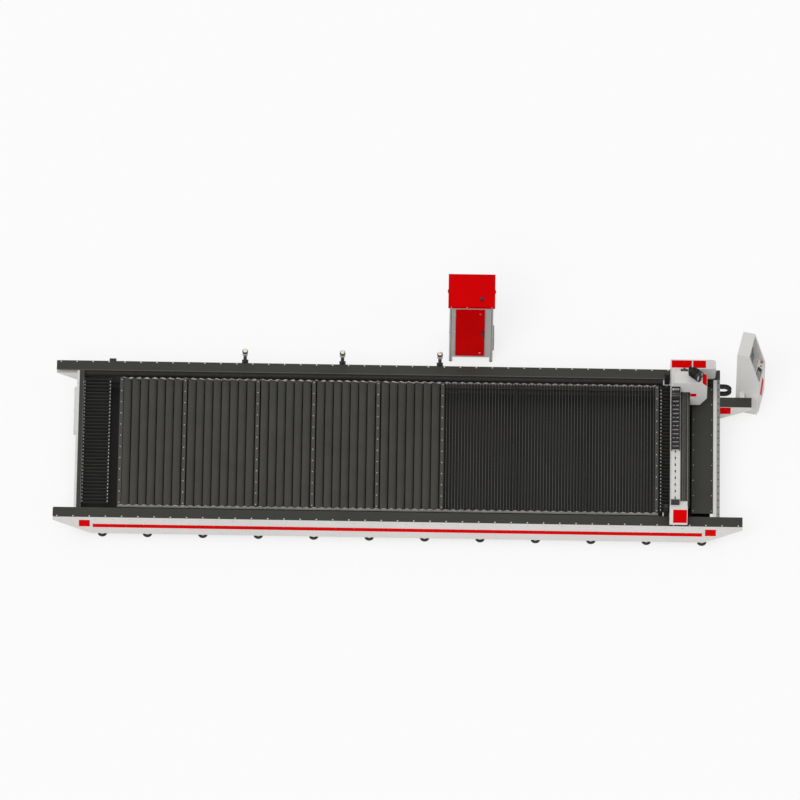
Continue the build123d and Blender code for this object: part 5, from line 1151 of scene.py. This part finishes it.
@dataclass
class Gantry:
    """Bridge on two end carriages, with caps, guides and chains."""

    plug_pitch: float = 0.08
    slot_count: int = 20
    link_pitch: float = 0.095
    pin_radius: float = 0.013
    strip_gap: float = 0.003
    strip_sheet: float = 0.0015
    plug_inset: float = 0.04
    gearbox: float = 0.095
    spigot: float = 0.006
    cap_screw: float = 0.009
    chain_half: float = 0.030
    chain_bend: float = 0.115

    def dress(self) -> None:
        """Finish the gantry's nodes and add its fittings."""
        paint(Tone.WHITE, "bridge", "front_carriage", "rear_carriage", "front_cap", "rear_cap")
        paint(Tone.WHITE, "chain_tray")
        paint(Tone.RED, "cap_panels")
        paint(Tone.GUIDE, "x_bearings", "front_pinion", "rear_pinion")
        paint(Tone.CROSS_RAIL, "y_guideways")
        paint(Tone.CHAIN, "y_chain", "x_chain")
        self.ways()
        self.tray_slots()
        self.drives()
        self.cap_screws()
        self.cross_chain()
        self.long_chain()

    def ways(self) -> None:
        """Lay dark wear strips beside the top guide and plug its screw holes."""
        tray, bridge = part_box("chain_tray"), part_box("bridge")
        rail = max(solids("y_guideways"), key=lambda box: box[1].z)
        strips, plugs = Shape(), Shape()
        base, top = bridge[1].z, bridge[1].z + self.strip_sheet
        for left, right in ((tray[1].x, rail[0].x), (rail[1].x, bridge[1].x)):
            low = (left + self.strip_gap, rail[0].y, base)
            strips.block(low, (right - self.strip_gap, rail[1].y, top), 0.0005)
        middle = (rail[0].x + rail[1].x) / 2.0
        for y in spread(rail[0].y, rail[1].y, self.plug_pitch, self.plug_inset):
            place = Matrix.Translation((middle, y, rail[1].z))
            plugs.turned([(0.010, 0.0), (0.010, 0.0002), (0.006, 0.0003)], place, 16)
            for x in ((tray[1].x + rail[0].x) / 2.0, (rail[1].x + bridge[1].x) / 2.0):
                plugs.screw((x, y, top), UP, 0.006)
        strips.settle("way_strips", "gantry", Tone.COVER, "guide_steel")
        plugs.settle("way_screws", "gantry", Tone.BLACK, "black_metal")

    def tray_slots(self) -> None:
        """Lay a thin dark plate in each of the tray's slots as painted shade, and screw the tray down
        between them.
        """
        low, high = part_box("chain_tray")
        pitch = (high.y - low.y) / self.slot_count
        shape = Shape()
        for index in range(self.slot_count):
            spot = ((low.x + high.x) / 2.0, low.y + (index + 0.5) * pitch, low.z)
            place = Matrix.Translation(spot)
            # Painted shade: a thin dark plate that darkens the shallow slot.
            shape.block((-0.012, -0.029, 0.0), (0.012, 0.029, 0.0012), 0.0004, place)
            for y in (-0.055, 0.055):
                shape.screw((spot[0], spot[1] + y, low.z + 0.002), UP, 0.005)
        shape.settle("tray_slot_shade_and_screws", "gantry", Tone.CHAIN, "chain_plastic")

    def drives(self) -> None:
        """Stand a gearbox and a servo motor on each foot plate."""
        shape = Shape()
        for low, high in solids("x_drives"):
            size, half, top = high.x - low.x, (high.x - low.x) / 2.0, self.gearbox
            place = stand(low, high)
            shape.block((-half, -half, 0.0), (half, half, top), 0.006, place)
            shape.turned([(0.046, top), (0.046, top + 0.008)], place, 32)
            rise = place @ Matrix.Translation((0.0, 0.0, top + self.spigot))
            shape.servo(rise, 0.9 * size, high.z - low.z - top - self.spigot)
        shape.settle("long_axis_servos", "gantry", Tone.BLACK, "black_metal", "x_drives")

    def cap_screws(self) -> None:
        """Screw the end caps to the bridge."""
        shape = Shape()
        low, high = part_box("front_cap")
        for x, facing in ((low.x, LEFT), (high.x, RIGHT)):
            shape.screw((x, low.y + 0.04, low.z + 0.03), facing, self.cap_screw)
            for z in (low.z + 0.03, high.z - 0.04):
                shape.screw((x, high.y - 0.03, z), facing, self.cap_screw)
        low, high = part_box("rear_cap")
        for z in (low.z + 0.03, high.z - 0.05):
            for x in spread(low.x + 0.06, high.x - 0.1, 0.26):
                shape.screw((x, high.y, z), REAR, self.cap_screw)
            for y in (low.y + 0.06, high.y - 0.06):
                shape.screw((low.x, y, z), LEFT, self.cap_screw)
        shape.settle("cap_screws", "gantry", Tone.BOLT, "guide_steel")

    def cross_chain(self) -> None:
        """Pin and clip the links of the cross energy chain."""
        low, high = max(solids("y_chain"), key=lambda box: box[1].y - box[0].y)
        shape = Shape()
        middle = (low.z + high.z) / 2.0
        joints = spread(low.y, high.y, self.link_pitch)
        for y in joints[1:-1]:
            for x, facing in ((low.x, LEFT), (high.x, RIGHT)):
                shape.pin((x, y, middle), facing, self.pin_radius, 0.6 * self.pin_radius)
        for start, end in zip(joints, joints[1:]):
            y = (start + end) / 2.0
            for x in (low.x + 0.004, high.x - 0.026):
                shape.block((x, y - 0.022, high.z), (x + 0.022, y + 0.022, high.z + 0.004), 0.001)
        shape.settle("cross_chain_pins", "gantry", Tone.CHAIN, "chain_plastic")

    def long_chain(self) -> None:
        """Pin the links of the long energy chain along its runs and round its bend."""
        low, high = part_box("x_chain")
        half, radius = self.chain_half, self.chain_bend
        bend = Vector((high.x - radius - half, 0.0, (low.z + high.z) / 2.0))
        runs = spread(low.x, bend.x, self.link_pitch)[1:]
        spots = [(x, z) for x in runs for z in (low.z + half, high.z - half)]
        for step in range(1, 6):
            turn = math.radians(-90.0 + 30.0 * step)
            spots.append((bend.x + radius * math.cos(turn), bend.z + radius * math.sin(turn)))
        shape = Shape()
        for x, z in spots:
            for y, facing in ((low.y, FRONT), (high.y, REAR)):
                shape.pin((x, y, z), facing, self.pin_radius, 0.6 * self.pin_radius)
        shape.settle("long_chain_pins", "gantry", Tone.CHAIN, "chain_plastic")


@dataclass
class Carriage:
    """Housing, drives, lamp and cutting head on the bridge."""

    lamp_radius: float = 0.105
    lamp_length: float = 0.250
    lamp_turn: float = -40.0
    lamp_rise: float = 0.133
    lamp_fins: int = 7
    lens_inset: float = 0.014
    screw_radius: float = 0.009
    bend_reach: float = 0.145
    bend_radius: float = 0.110
    clamp_sheet: float = 0.006
    pin_radius: float = 0.013
    pin_tip: float = 0.008
    focus_height: float = 0.135
    head_height: float = 0.260
    receiver: tuple[Span, ...] = (
        (0.028, 0.260), (0.028, 0.275), (0.024, 0.277), (0.024, 0.290),
        (0.028, 0.292), (0.028, 0.330), (0.020, 0.338), (0.020, 0.350),
    )

    def dress(self) -> None:
        """Finish the carriage's nodes and add its fittings."""
        paint(Tone.WHITE, "housing")
        paint(Tone.RED, "carriage_trim")
        paint(Tone.ALUMINIUM, "carriage_plate", "z_plate")
        paint(Tone.CROSS_GUIDE, "carriage_guides", "y_pinion", "z_screw")
        paint(Tone.CHAIN, "y_chain_bend")
        self.housing_fittings()
        self.bend_pins()
        self.lamp()
        self.servos()
        self.head()
        self.nozzle()

    def housing_fittings(self) -> None:
        """Screw the housing together, vent its rear and mark the seam of its service lid."""
        low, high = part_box("housing")
        screws, seams, vents = Shape(), Shape(), Shape()
        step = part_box("carriage_trim")[0].x
        left, right, top = low.x + 0.025, high.x - 0.02, high.z - 0.025
        upper = ((left, top), (left, 1.15), (high.x - 0.13, top))
        lower = ((right, 1.24), (right, 0.94), (step + 0.03, 0.72), (high.x - 0.16, 0.72))
        for x, z in upper + lower:
            screws.screw((x, low.y, z), FRONT, self.screw_radius)
            screws.screw((x, high.y, z), REAR, self.screw_radius)
        for y in (low.y + 0.03, high.y - 0.03):
            screws.screw((low.x + 0.03, y, high.z), UP, self.screw_radius)
            screws.screw((high.x - 0.13, y, high.z), UP, self.screw_radius)
        side = seat((high.x, (low.y + high.y) / 2.0, 1.09), REAR, UP)
        seams.seam(side, 0.23, 0.30)
        rear = seat(((step + high.x) / 2.0 - 0.02, high.y, 0.98), LEFT, UP)
        seams.seam(rear @ Matrix.Translation((0.0, 0.06, 0.0)), 0.24, 0.30)
        vents.vents(rear, 0.16, 7, 0.018, 0.008)
        screws.settle("housing_screws", "carriage", Tone.BOLT, "guide_steel")
        seams.settle("housing_seams", "carriage", Tone.SEAM, "black_metal")
        vents.settle("housing_vents", "carriage", Tone.WHITE, "white_paint")

    def bend_pins(self) -> None:
        """Pin the rising links of the cross chain."""
        low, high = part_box("y_chain_bend")
        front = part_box("housing")[0].y
        radius, reach = self.bend_radius, self.bend_reach
        middle = Vector((0.0, front - self.clamp_sheet - reach, low.z + reach))
        shape = Shape()
        for step in range(4):
            turn = math.radians(-90.0 + 30.0 * step)
            y, z = middle.y + radius * math.cos(turn), middle.z + radius * math.sin(turn)
            for x, facing in ((low.x, LEFT), (high.x, RIGHT)):
                shape.pin((x, y, z), facing, self.pin_radius, self.pin_tip)
        shape.settle("chain_bend_pins", "carriage", Tone.CHAIN, "chain_plastic")

    def lamp(self) -> None:
        """Build the finned drum lamp in its yoke on the housing."""
        low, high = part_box("work_lamp")
        middle = (low + high) / 2.0
        turn = math.radians(self.lamp_turn)
        out = Vector((math.cos(turn), math.sin(turn), 0.0))
        axis = Vector((middle.x, middle.y, low.z + self.lamp_rise))
        start = seat(axis - out * self.lamp_length / 2.0, Vector((-out.y, out.x, 0.0)), UP)
        full, core, length = self.lamp_radius, 0.9 * self.lamp_radius, self.lamp_length
        rings = [(0.3 * full, 0.0), (0.62 * full, 0.006), (0.78 * full, 0.028), (0.8 * full, 0.05)]
        for fin in range(self.lamp_fins):
            place, root = 0.055 + 0.020 * fin, core * 0.92
            rings += [(root, place), (full, place + 0.003), (full, place + 0.009), (root, place + 0.012)]
        rings += [(core, 0.196), (full, 0.200), (full, length - 0.006), (0.95 * full, length)]
        rings += [(0.86 * full, length), (0.84 * full, length - self.lens_inset)]
        body, lens, yoke = Shape(), Shape(), Shape()
        body.turned(rings, start, 48)
        front = start @ Matrix.Translation((0.0, 0.0, length - self.lens_inset))
        bulge = [(0.84 * full, 0.0), (0.83 * full, 0.004), (0.5 * full, 0.009), (0.1 * full, 0.011)]
        lens.turned(bulge, front, 48)
        base = stand(low, high) @ Matrix.Rotation(turn, 4, "Z")
        arm = length / 2.0
        yoke.block((-arm - 0.010, -0.035, 0.0), (arm + 0.010, 0.035, 0.008), 0.002, base)
        for side in (-1, 1):
            x = side * (arm + 0.005)
            yoke.block((x - 0.005, -0.030, 0.008), (x + 0.005, 0.030, high.z - low.z - 0.002), 0.002, base)
            yoke.bolt(base @ Vector((side * 0.09, 0.022, 0.008)), UP, 0.008)
            knob = base @ seat((side * (arm + 0.010), 0.0, self.lamp_rise), (0.0, float(side), 0.0), UP)
            yoke.turned([(0.016, 0.0), (0.018, 0.003), (0.018, 0.006), (0.012, 0.008)], knob, 20, 0.06)
        body.settle("lamp_drum", "carriage", Tone.BLACK, "black_metal", "work_lamp")
        lens.settle("lamp_lens", "carriage", Tone.LENS, "screen")
        yoke.settle("lamp_yoke", "carriage", Tone.BLACK, "black_metal")

    def servos(self) -> None:
        """Build the motors of the cross axis and of the head slide."""
        lift, drive = solids("carriage_motors")
        shape = Shape()
        upright = stand(*lift) @ Matrix.Rotation(math.pi, 4, "Z")
        shape.servo(upright, lift[1].x - lift[0].x, lift[1].z - lift[0].z)
        middle = (drive[0] + drive[1]) / 2.0
        lying = seat((drive[0].x, middle.y, middle.z), FRONT, DOWN)
        shape.servo(lying, drive[1].y - drive[0].y, drive[1].x - drive[0].x)
        shape.settle("carriage_servos", "carriage", Tone.BLACK, "black_metal", "carriage_motors")

    def head(self) -> None:
        """Build the cutting head: focus body, lens drawers, collimator and fiber receiver."""
        low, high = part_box("cutting_head")
        place = stand(low, high)
        half = (high.x - low.x) / 2.0
        body, trim = Shape(), Shape()
        body.block((-half, -half, 0.0), (half, half, self.focus_height), 0.012, place)
        narrow, top = 0.82 * half, self.head_height
        body.block((-narrow, -narrow, self.focus_height), (narrow, narrow, top), 0.008, place)
        for height, rise in ((0.020, 0.036), (0.075, 0.040)):
            trim.block((half, -0.040, height), (half + 0.006, 0.040, height + rise), 0.002, place)
            knob = place @ aim((half + 0.006, 0.0, height + rise / 2.0), RIGHT)
            trim.turned([(0.011, 0.0), (0.012, 0.003), (0.012, 0.012), (0.009, 0.014)], knob, 24, 0.08)
        trim.turned(self.receiver, place, 36, 0.02)
        corner = narrow - 0.012
        for x in (-corner, corner):
            for y in (-corner, corner):
                trim.screw(place @ Vector((x, y, top)), UP, 0.004)
        body.settle("head_body", "head", Tone.ANODISED, "head_metal", "cutting_head")
        trim.settle("head_drawers", "head", Tone.ALUMINIUM, "bare_aluminium")

    def nozzle(self) -> None:
        """Turn the sensor body, its ceramic ring and the brass nozzle."""
        low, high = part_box("nozzle")
        place, height = stand(low, high), high.z - low.z
        sensor, ceramic, tip = Shape(), Shape(), Shape()
        case = [(0.040, 0.078), (0.045, 0.082), (0.045, height - 0.004), (0.043, height)]
        sensor.turned(case, place, 48)
        sensor.turned([(0.0455, 0.096), (0.0455, 0.112)], place, 60, 0.03)
        ceramic.turned([(0.026, 0.046), (0.031, 0.052), (0.031, 0.072), (0.034, 0.078)], place, 40)
        cone = [(0.0055, 0.0), (0.006, 0.001), (0.020, 0.034), (0.022, 0.038), (0.022, 0.046)]
        tip.turned(cone, place, 40)
        tip.settle("nozzle_tip", "head", Tone.BRASS, "nozzle_brass", "nozzle")
        ceramic.settle("nozzle_ceramic", "head", Tone.CERAMIC, "nozzle_brass")
        sensor.settle("nozzle_sensor", "head", Tone.ALUMINIUM, "nozzle_brass")


@dataclass
class Console:
    """Operator console with screen, keyboard and push buttons."""

    yaw: float = 12.0
    depth: float = 0.446
    width: float = 0.560
    desk_near: Point = (0.446, 0.0, 0.963)
    desk_far: Point = (0.304, 0.0, 1.090)
    panel: float = 0.020
    keyboard_shift: float = -0.085
    key_rows: int = 5
    key_columns: int = 12
    key_pitch: Span = (0.0165, 0.018)
    key_size: Span = (0.0145, 0.0155)
    key_start: Span = (-0.134, -0.040)
    key_rise: float = 0.004
    space_columns: tuple[int, int] = (3, 8)
    start_place: float = 0.110
    stop_place: float = 0.200
    stem: tuple[Span, ...] = ((0.007, -0.011), (0.007, 0.006))
    start_cap: tuple[Span, ...] = ((0.0145, 0.006), (0.015, 0.008), (0.015, 0.0165), (0.0135, 0.018))
    stop_cap: tuple[Span, ...] = (
        (0.017, 0.006), (0.022, 0.0075), (0.024, 0.011), (0.0235, 0.0145), (0.020, 0.0172), (0.012, 0.018)
    )

    def dress(self) -> None:
        """Finish the console's nodes and add its controls."""
        paint(Tone.WHITE, "console_body")
        paint(Tone.DISPLAY, "console_display")
        paint(Tone.SCREEN, "console_screen")
        paint(Tone.WHITE, "console_panel")
        self.keys()
        self.buttons()
        self.sheet_work()

    def place(self) -> Matrix:
        """Transform of the console: local X out to the operator, Y across and Z up."""
        turn = math.radians(self.yaw)
        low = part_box("console_body")[0]
        spot = (low.x, low.y + self.depth * math.sin(turn), 0.0)
        return Matrix.Translation(spot) @ Matrix.Rotation(-turn, 4, "Z")

    def desk(self) -> Matrix:
        """Transform of the sloping panel's upper face: local X across and Y away from the operator."""
        near, far = Vector(self.desk_near), Vector(self.desk_far)
        middle = (near + far) / 2.0 + Vector((0.0, self.width / 2.0, 0.0))
        flat = self.place() @ seat(middle, REAR, far - near)
        return flat @ Matrix.Translation((0.0, 0.0, self.panel))

    def keys(self) -> None:
        """Set rows of keys and a touch pad on the keyboard."""
        board = self.desk() @ Matrix.Translation((self.keyboard_shift, 0.0, 0.010))
        keys, pad = Shape(), Shape()
        (wide, deep), rise = self.key_size, self.key_rise
        first, last = self.space_columns
        for row in range(self.key_rows):
            y = self.key_start[1] + row * self.key_pitch[1]
            for column in range(self.key_columns):
                x = self.key_start[0] + column * self.key_pitch[0]
                if row == 0 and first <= column <= last:
                    continue
                keys.block((x, y, 0.0), (x + wide, y + deep, rise), 0.0012, board)
        left, right = (self.key_start[0] + column * self.key_pitch[0] for column in self.space_columns)
        front = self.key_start[1]
        keys.block((left, front, 0.0), (right + wide, front + deep, rise), 0.0012, board)
        pad.rim(board @ Matrix.Translation((0.102, 0.004, 0.0)), 0.068, 0.072, 0.004, 0.002)
        for x in (0.072, 0.104):
            keys.block((x, -0.044, 0.0), (x + 0.028, -0.034, 0.003), 0.001, board)
        keys.settle("keyboard_keys", "bed", Tone.KEYS, "display_plastic")
        pad.settle("touch_pad_rim", "bed", Tone.DISPLAY, "display_plastic")

    def buttons(self) -> None:
        """Build the push buttons, their collars and the key switch beside them."""
        desk = self.desk()
        start = desk @ Matrix.Translation((self.start_place, 0.0, 0.0))
        stop = desk @ Matrix.Translation((self.stop_place, 0.0, 0.0))
        cap, mushroom, collar, ring = Shape(), Shape(), Shape(), Shape()
        cap.turned(self.stem + self.start_cap, start, 40)
        mushroom.turned(self.stem + self.stop_cap, stop, 48)
        for place, radius in ((start, 0.019), (stop, 0.028)):
            collar.hoop(place @ Matrix.Translation((0.0, 0.0, 0.002)), radius, 0.0022)
        ring.hoop(stop @ Matrix.Translation((0.0, 0.0, 0.0018)), 0.033, 0.0030)
        key = desk @ Matrix.Translation((0.155, -0.055, 0.0))
        collar.turned([(0.014, 0.0), (0.014, 0.005), (0.011, 0.007)], key, 28)
        collar.block((-0.0015, -0.009, 0.007), (0.0015, 0.009, 0.011), 0.0005, key)
        for x in (-0.232, 0.232):
            for y in (-0.075, 0.075):
                collar.screw(desk @ Vector((x, y, 0.0)), desk.col[2].to_3d(), 0.005)
        cap.settle("start_button_cap", "start_button", Tone.GREEN, "green_button", "start_button")
        mushroom.settle("stop_button_cap", "emergency_stop", Tone.SIGNAL_RED, "red_button", "emergency_stop")
        collar.settle("button_collars", "bed", Tone.BOLT, "guide_steel")
        ring.settle("stop_button_ring", "bed", Tone.YELLOW, "display_plastic")

    def sheet_work(self) -> None:
        """Fit the rear door's seam, its locks and vents, and the screws of the front sheet."""
        place = self.place()
        seams, vents, locks = Shape(), Shape(), Shape()
        back = place @ seat((0.0, self.width / 2.0, 0.78), FRONT, UP)
        seams.seam(back, 0.47, 1.36)
        vents.vents(back @ Matrix.Translation((0.0, -0.56, 0.0)), 0.30, 9, 0.022, 0.009)
        vents.vents(back @ Matrix.Translation((0.0, 0.44, 0.0)), 0.30, 6, 0.022, 0.009)
        for y in (-0.4, 0.1, 0.5):
            locks.lock(back @ Matrix.Translation((0.20, y, 0.0)), 0.015, 0.005, 0.0005)
            hinge = back @ Matrix.Translation((-0.238, y, 0.004))
            locks.block((-0.005, -0.035, -0.004), (0.005, 0.035, 0.004), 0.002, hinge)
        front = place @ seat((self.depth, self.width / 2.0, 0.52), REAR, UP)
        seams.seam(front, 0.50, 0.84)
        for x in (-0.235, 0.235):
            for y in (-0.40, 0.0, 0.40):
                locks.screw(front @ Vector((x, y, 0.0)), front.col[2].to_3d(), 0.007)
        seams.settle("console_seams", "bed", Tone.SEAM, "black_metal")
        vents.settle("console_vents", "bed", Tone.WHITE, "white_paint")
        locks.settle("console_locks", "bed", Tone.BOLT, "guide_steel")


@dataclass
class Cabinet:
    """Free-standing laser source cabinet with a hinged front door."""

    slot_width: float = 0.008
    slot_skin: float = 0.0008
    post: float = 0.060
    vent_level: float = 1.30
    vent_drop: float = -0.95
    vent_set: tuple[float, int, float, float] = (0.34, 10, 0.026, 0.010)
    sheet_inset: float = 0.020
    cooler_middle: Span = (1.976, 0.48)
    fan_places: Span = (-0.11, 0.11)
    fan_rings: tuple[float, ...] = (0.024, 0.042, 0.060, 0.078, 0.094)
    fan_spokes: int = 6
    socket_places: tuple[float, ...] = (-0.1, -0.04, 0.04, 0.1)
    socket_profile: tuple[Span, ...] = (
        (0.018, 0.0), (0.018, 0.008), (0.015, 0.012), (0.012, 0.012), (0.012, 0.004)
    )

    def dress(self) -> None:
        """Finish the cabinet's nodes and add its fittings."""
        paint(Tone.GREY, "cabinet_frame", "cabinet_panels")
        paint(Tone.RED, "cabinet_hood", "cabinet_door")
        paint(Tone.BLACK, "door_handle")
        paint(Tone.PANEL, "laser_modules")
        self.post_slots()
        self.door_trim()
        self.hood_latches()
        self.side_vents()
        self.cooler_fans()
        self.module_fronts()

    def post_slots(self) -> None:
        """Run a groove down the outer faces of the corner posts and fit their end screws."""
        low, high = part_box("cabinet_frame")
        low = Vector((low.x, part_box("cabinet_panels")[0].y, low.z))
        shape, screws = Shape(), Shape()
        half, thick = self.slot_width / 2.0, self.slot_skin
        bottom, top = low.z + 0.02, high.z - 0.065
        for x in (low.x + self.post / 2.0, high.x - self.post / 2.0):
            for y, out in ((low.y, -thick), (high.y, thick)):
                shape.block((x - half, min(y, y + out), bottom), (x + half, max(y, y + out), top))
                facing = FRONT if out < 0.0 else REAR
                for z in (0.18, 1.70):
                    screws.screw((x, y, z), facing, 0.008)
        for y in (low.y + self.post / 2.0, high.y - self.post / 2.0):
            for x, out in ((low.x, -thick), (high.x, thick)):
                shape.block((min(x, x + out), y - half, bottom), (max(x, x + out), y + half, top))
        shape.settle("post_grooves", "bed", Tone.SEAM, "black_metal")
        screws.settle("post_screws", "bed", Tone.BOLT, "guide_steel")

    def door_trim(self) -> None:
        """Fold a rim round the door and fit its lock."""
        low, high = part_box("cabinet_door")
        middle = (low + high) / 2.0
        face = seat((middle.x, low.y, middle.z), RIGHT, UP)
        rim, lock = Shape(), Shape()
        rim.rim(face, high.x - low.x - 0.004, high.z - low.z - 0.004, 0.014, 0.002)
        for y in (-0.62, 0.62):
            lock.lock(face @ Matrix.Translation((0.19, y, 0.0)), 0.015, 0.005, 0.0005)
        rim.settle("door_rim", "door", Tone.RED, "red_paint")
        lock.settle("door_locks", "door", Tone.BOLT, "guide_steel")

    def hood_latches(self) -> None:
        """Latch the hood at both sides and screw its front skirt."""
        low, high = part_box("cabinet_hood")
        middle = (low + high) / 2.0
        latches, screws = Shape(), Shape()
        for x, facing in ((low.x, LEFT), (high.x, RIGHT)):
            place = seat((x, middle.y, middle.z), FRONT if facing is LEFT else REAR, UP)
            latches.block((-0.030, -0.022, 0.0), (0.030, 0.022, 0.008), 0.003, place)
            latches.block((-0.012, -0.034, 0.008), (0.012, 0.014, 0.014), 0.003, place)
        for x in (low.x + 0.06, low.x + 0.36, high.x - 0.06):
            screws.screw((x, low.y, middle.z), FRONT, 0.010)
            screws.screw((x, high.y, middle.z), REAR, 0.010)
        latches.settle("hood_latches", "bed", Tone.BLACK, "black_metal")
        screws.settle("hood_screws", "bed", Tone.BOLT, "guide_steel")

    def side_vents(self) -> None:
        """Press vents into the side and rear sheets."""
        low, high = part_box("cabinet_frame")
        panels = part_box("cabinet_panels")
        shape = Shape()
        depth, level = (panels[0].y + high.y) / 2.0, self.vent_level
        left = seat((low.x + self.sheet_inset, depth, level), FRONT, UP)
        right = seat((high.x - self.sheet_inset, depth, level), REAR, UP)
        rear = seat(((low.x + high.x) / 2.0, high.y - self.sheet_inset, level), LEFT, UP)
        for place in (left, right, rear):
            shape.vents(place, *self.vent_set)
        for place in (left, rear):
            shape.vents(place @ Matrix.Translation((0.0, self.vent_drop, 0.0)), *self.vent_set)
        shape.settle("cabinet_vents", "bed", Tone.GREY, "grey_paint")

    def cooler_fans(self) -> None:
        """Fit two fan guards and a rim on the side cooler."""
        outer = max(box[1].x for box in solids("cabinet_panels"))
        face = seat((outer, *self.cooler_middle), REAR, UP)
        guards, rim = Shape(), Shape()
        rim.rim(face, 0.252, 0.452, 0.012, 0.004)
        for y in self.fan_places:
            fan = face @ Matrix.Translation((0.0, y, 0.003))
            for radius in self.fan_rings:
                guards.hoop(fan, radius, 0.0022)
            for spoke in range(self.fan_spokes):
                turn = fan @ Matrix.Rotation(math.radians(360.0 * spoke / self.fan_spokes), 4, "Z")
                guards.block((0.012, -0.002, -0.002), (0.096, 0.002, 0.002), 0.0006, turn)
            guards.turned([(0.020, -0.003), (0.020, 0.002), (0.016, 0.004)], fan, 28)
        guards.settle("fan_guards", "bed", Tone.BLACK, "black_metal")
        rim.settle("cooler_rim", "bed", Tone.GREY, "grey_paint")

    def module_fronts(self) -> None:
        """Give every laser module handles, vents and its front sockets."""
        handles, vents, sockets = Shape(), Shape(), Shape()
        for low, high in solids("laser_modules"):
            middle = (low + high) / 2.0
            face = seat((middle.x, low.y, middle.z), RIGHT, UP)
            for x in (-0.22, 0.22):
                handles.block((x - 0.008, -0.07, 0.030), (x + 0.008, 0.07, 0.042), 0.004, face)
                for y in (-0.064, 0.064):
                    handles.block((x - 0.006, y - 0.006, 0.0), (x + 0.006, y + 0.006, 0.032), 0.002, face)
            vents.vents(face @ Matrix.Translation((0.0, 0.02, 0.0)), 0.26, 6, 0.018, 0.006)
            for x in self.socket_places:
                sockets.turned(self.socket_profile, face @ Matrix.Translation((x, -0.08, 0.0)), 28)
        handles.settle("module_handles", "bed", Tone.ALUMINIUM, "bare_aluminium")
        vents.settle("module_vents", "bed", Tone.PANEL, "source_metal")
        sockets.settle("module_sockets", "bed", Tone.BOLT, "guide_steel")


@dataclass
class Studio:
    """Pale floor, soft light and the camera."""

    aim_at: Point = (-0.199, 0.3655, 0.635)
    distance: float = 350.0
    elevation: float = 54.0
    roll: float = 0.9
    view_width: float = 15.2
    sensor: float = 36.0
    ambient: float = 0.62
    key_strength: float = 1.35
    key_angle: float = 40.0
    key_from: Point = (-0.28, -0.62, 0.86)
    floor_reach: float = 120.0
    floor_glow: float = 0.72

    def build(self) -> None:
        """Set up the whole studio."""
        scene = bpy.context.scene
        scene.view_settings.view_transform = "Standard"
        self.floor()
        self.world()
        self.key_light()
        scene.camera = self.camera()

    def camera(self) -> bpy.types.Object:
        """Place a long lens at the photograph's angle and return it."""
        lens = bpy.data.cameras.new("view")
        lens.sensor_width = self.sensor
        lens.lens = self.sensor * self.distance / self.view_width
        lens.clip_end = 4.0 * self.distance
        eye = bpy.data.objects.new("view", lens)
        bpy.context.scene.collection.objects.link(eye)
        rise = math.radians(self.elevation)
        back = Vector((0.0, -math.cos(rise), math.sin(rise)))
        up = Vector((0.0, math.sin(rise), math.cos(rise)))
        turn = math.radians(self.roll)
        right = Vector((math.cos(turn), 0.0, 0.0)) + up * math.sin(turn)
        top = up * math.cos(turn) - Vector((math.sin(turn), 0.0, 0.0))
        spot = Vector(self.aim_at) + back * self.distance
        rows = [(right[i], top[i], back[i], spot[i]) for i in range(3)]
        eye.matrix_world = Matrix([*rows, (0.0, 0.0, 0.0, 1.0)])
        return eye

    def key_light(self) -> None:
        """Hang a broad soft sun to the front left."""
        lamp = bpy.data.lights.new("key", "SUN")
        lamp.energy = self.key_strength
        lamp.angle = math.radians(self.key_angle)
        sun = bpy.data.objects.new("key", lamp)
        sun.matrix_world = aim((0.0, 0.0, 20.0), self.key_from)
        bpy.context.scene.collection.objects.link(sun)

    def shown(self, graph: Graph) -> Wire:
        """1 for rays that show the backdrop itself: seen, mirrored or through glass.

        Args:
            graph: Material or world that asks.

        Returns:
            The mask.
        """
        names = ("Is Camera Ray", "Is Glossy Ray", "Is Transmission Ray")
        seen, mirrored, through = (graph.add("ShaderNodeLightPath", output=name) for name in names)
        return seen | mirrored | through

    def world(self) -> None:
        """Light the scene evenly, with a white backdrop for the eye and for reflections."""
        world = bpy.data.worlds.new("studio")
        bpy.context.scene.world = world
        graph = Graph(world)
        strength = self.shown(graph) * (1.0 - self.ambient) + self.ambient
        white = (1.0, 1.0, 1.0, 1.0)
        graph.close(graph.add("ShaderNodeBackground", {}, {"Color": white, "Strength": strength}))

    def floor(self) -> None:
        """Lay a pale floor that keeps a faint shadow."""
        graph = Graph(bpy.data.materials.new("studio_floor"))
        matte = graph.add("ShaderNodeBsdfDiffuse", {}, {"Color": (0.92, 0.92, 0.92, 1.0)})
        plain = graph.add("ShaderNodeEmission", {}, {"Color": (1.0, 1.0, 1.0, 1.0), "Strength": 1.0})
        share = self.shown(graph) * self.floor_glow
        graph.close(graph.add("ShaderNodeMixShader", {}, {0: share, 1: matte, 2: plain}))
        mesh = bpy.data.meshes.new("studio_floor")
        signs = ((-1.0, -1.0), (1.0, -1.0), (1.0, 1.0), (-1.0, 1.0))
        corners = [(a * self.floor_reach, b * self.floor_reach, 0.0) for a, b in signs]
        mesh.from_pydata(corners, [], [(0, 1, 2, 3)])
        mesh.materials.append(graph.owner)
        floor = bpy.data.objects.new("studio_floor", mesh)
        bpy.context.scene.collection.objects.link(floor)


def main() -> None:
    """Set up the studio, then dress every sub-assembly."""
    logging.basicConfig(level=logging.INFO)
    Studio().build()
    for assembly in (RailBeams(), SlatBed(), Gantry(), Carriage(), Console(), Cabinet()):
        assembly.dress()
        LOG.info("dressed %s", type(assembly).__name__)


if __name__ == "__main__":
    main()
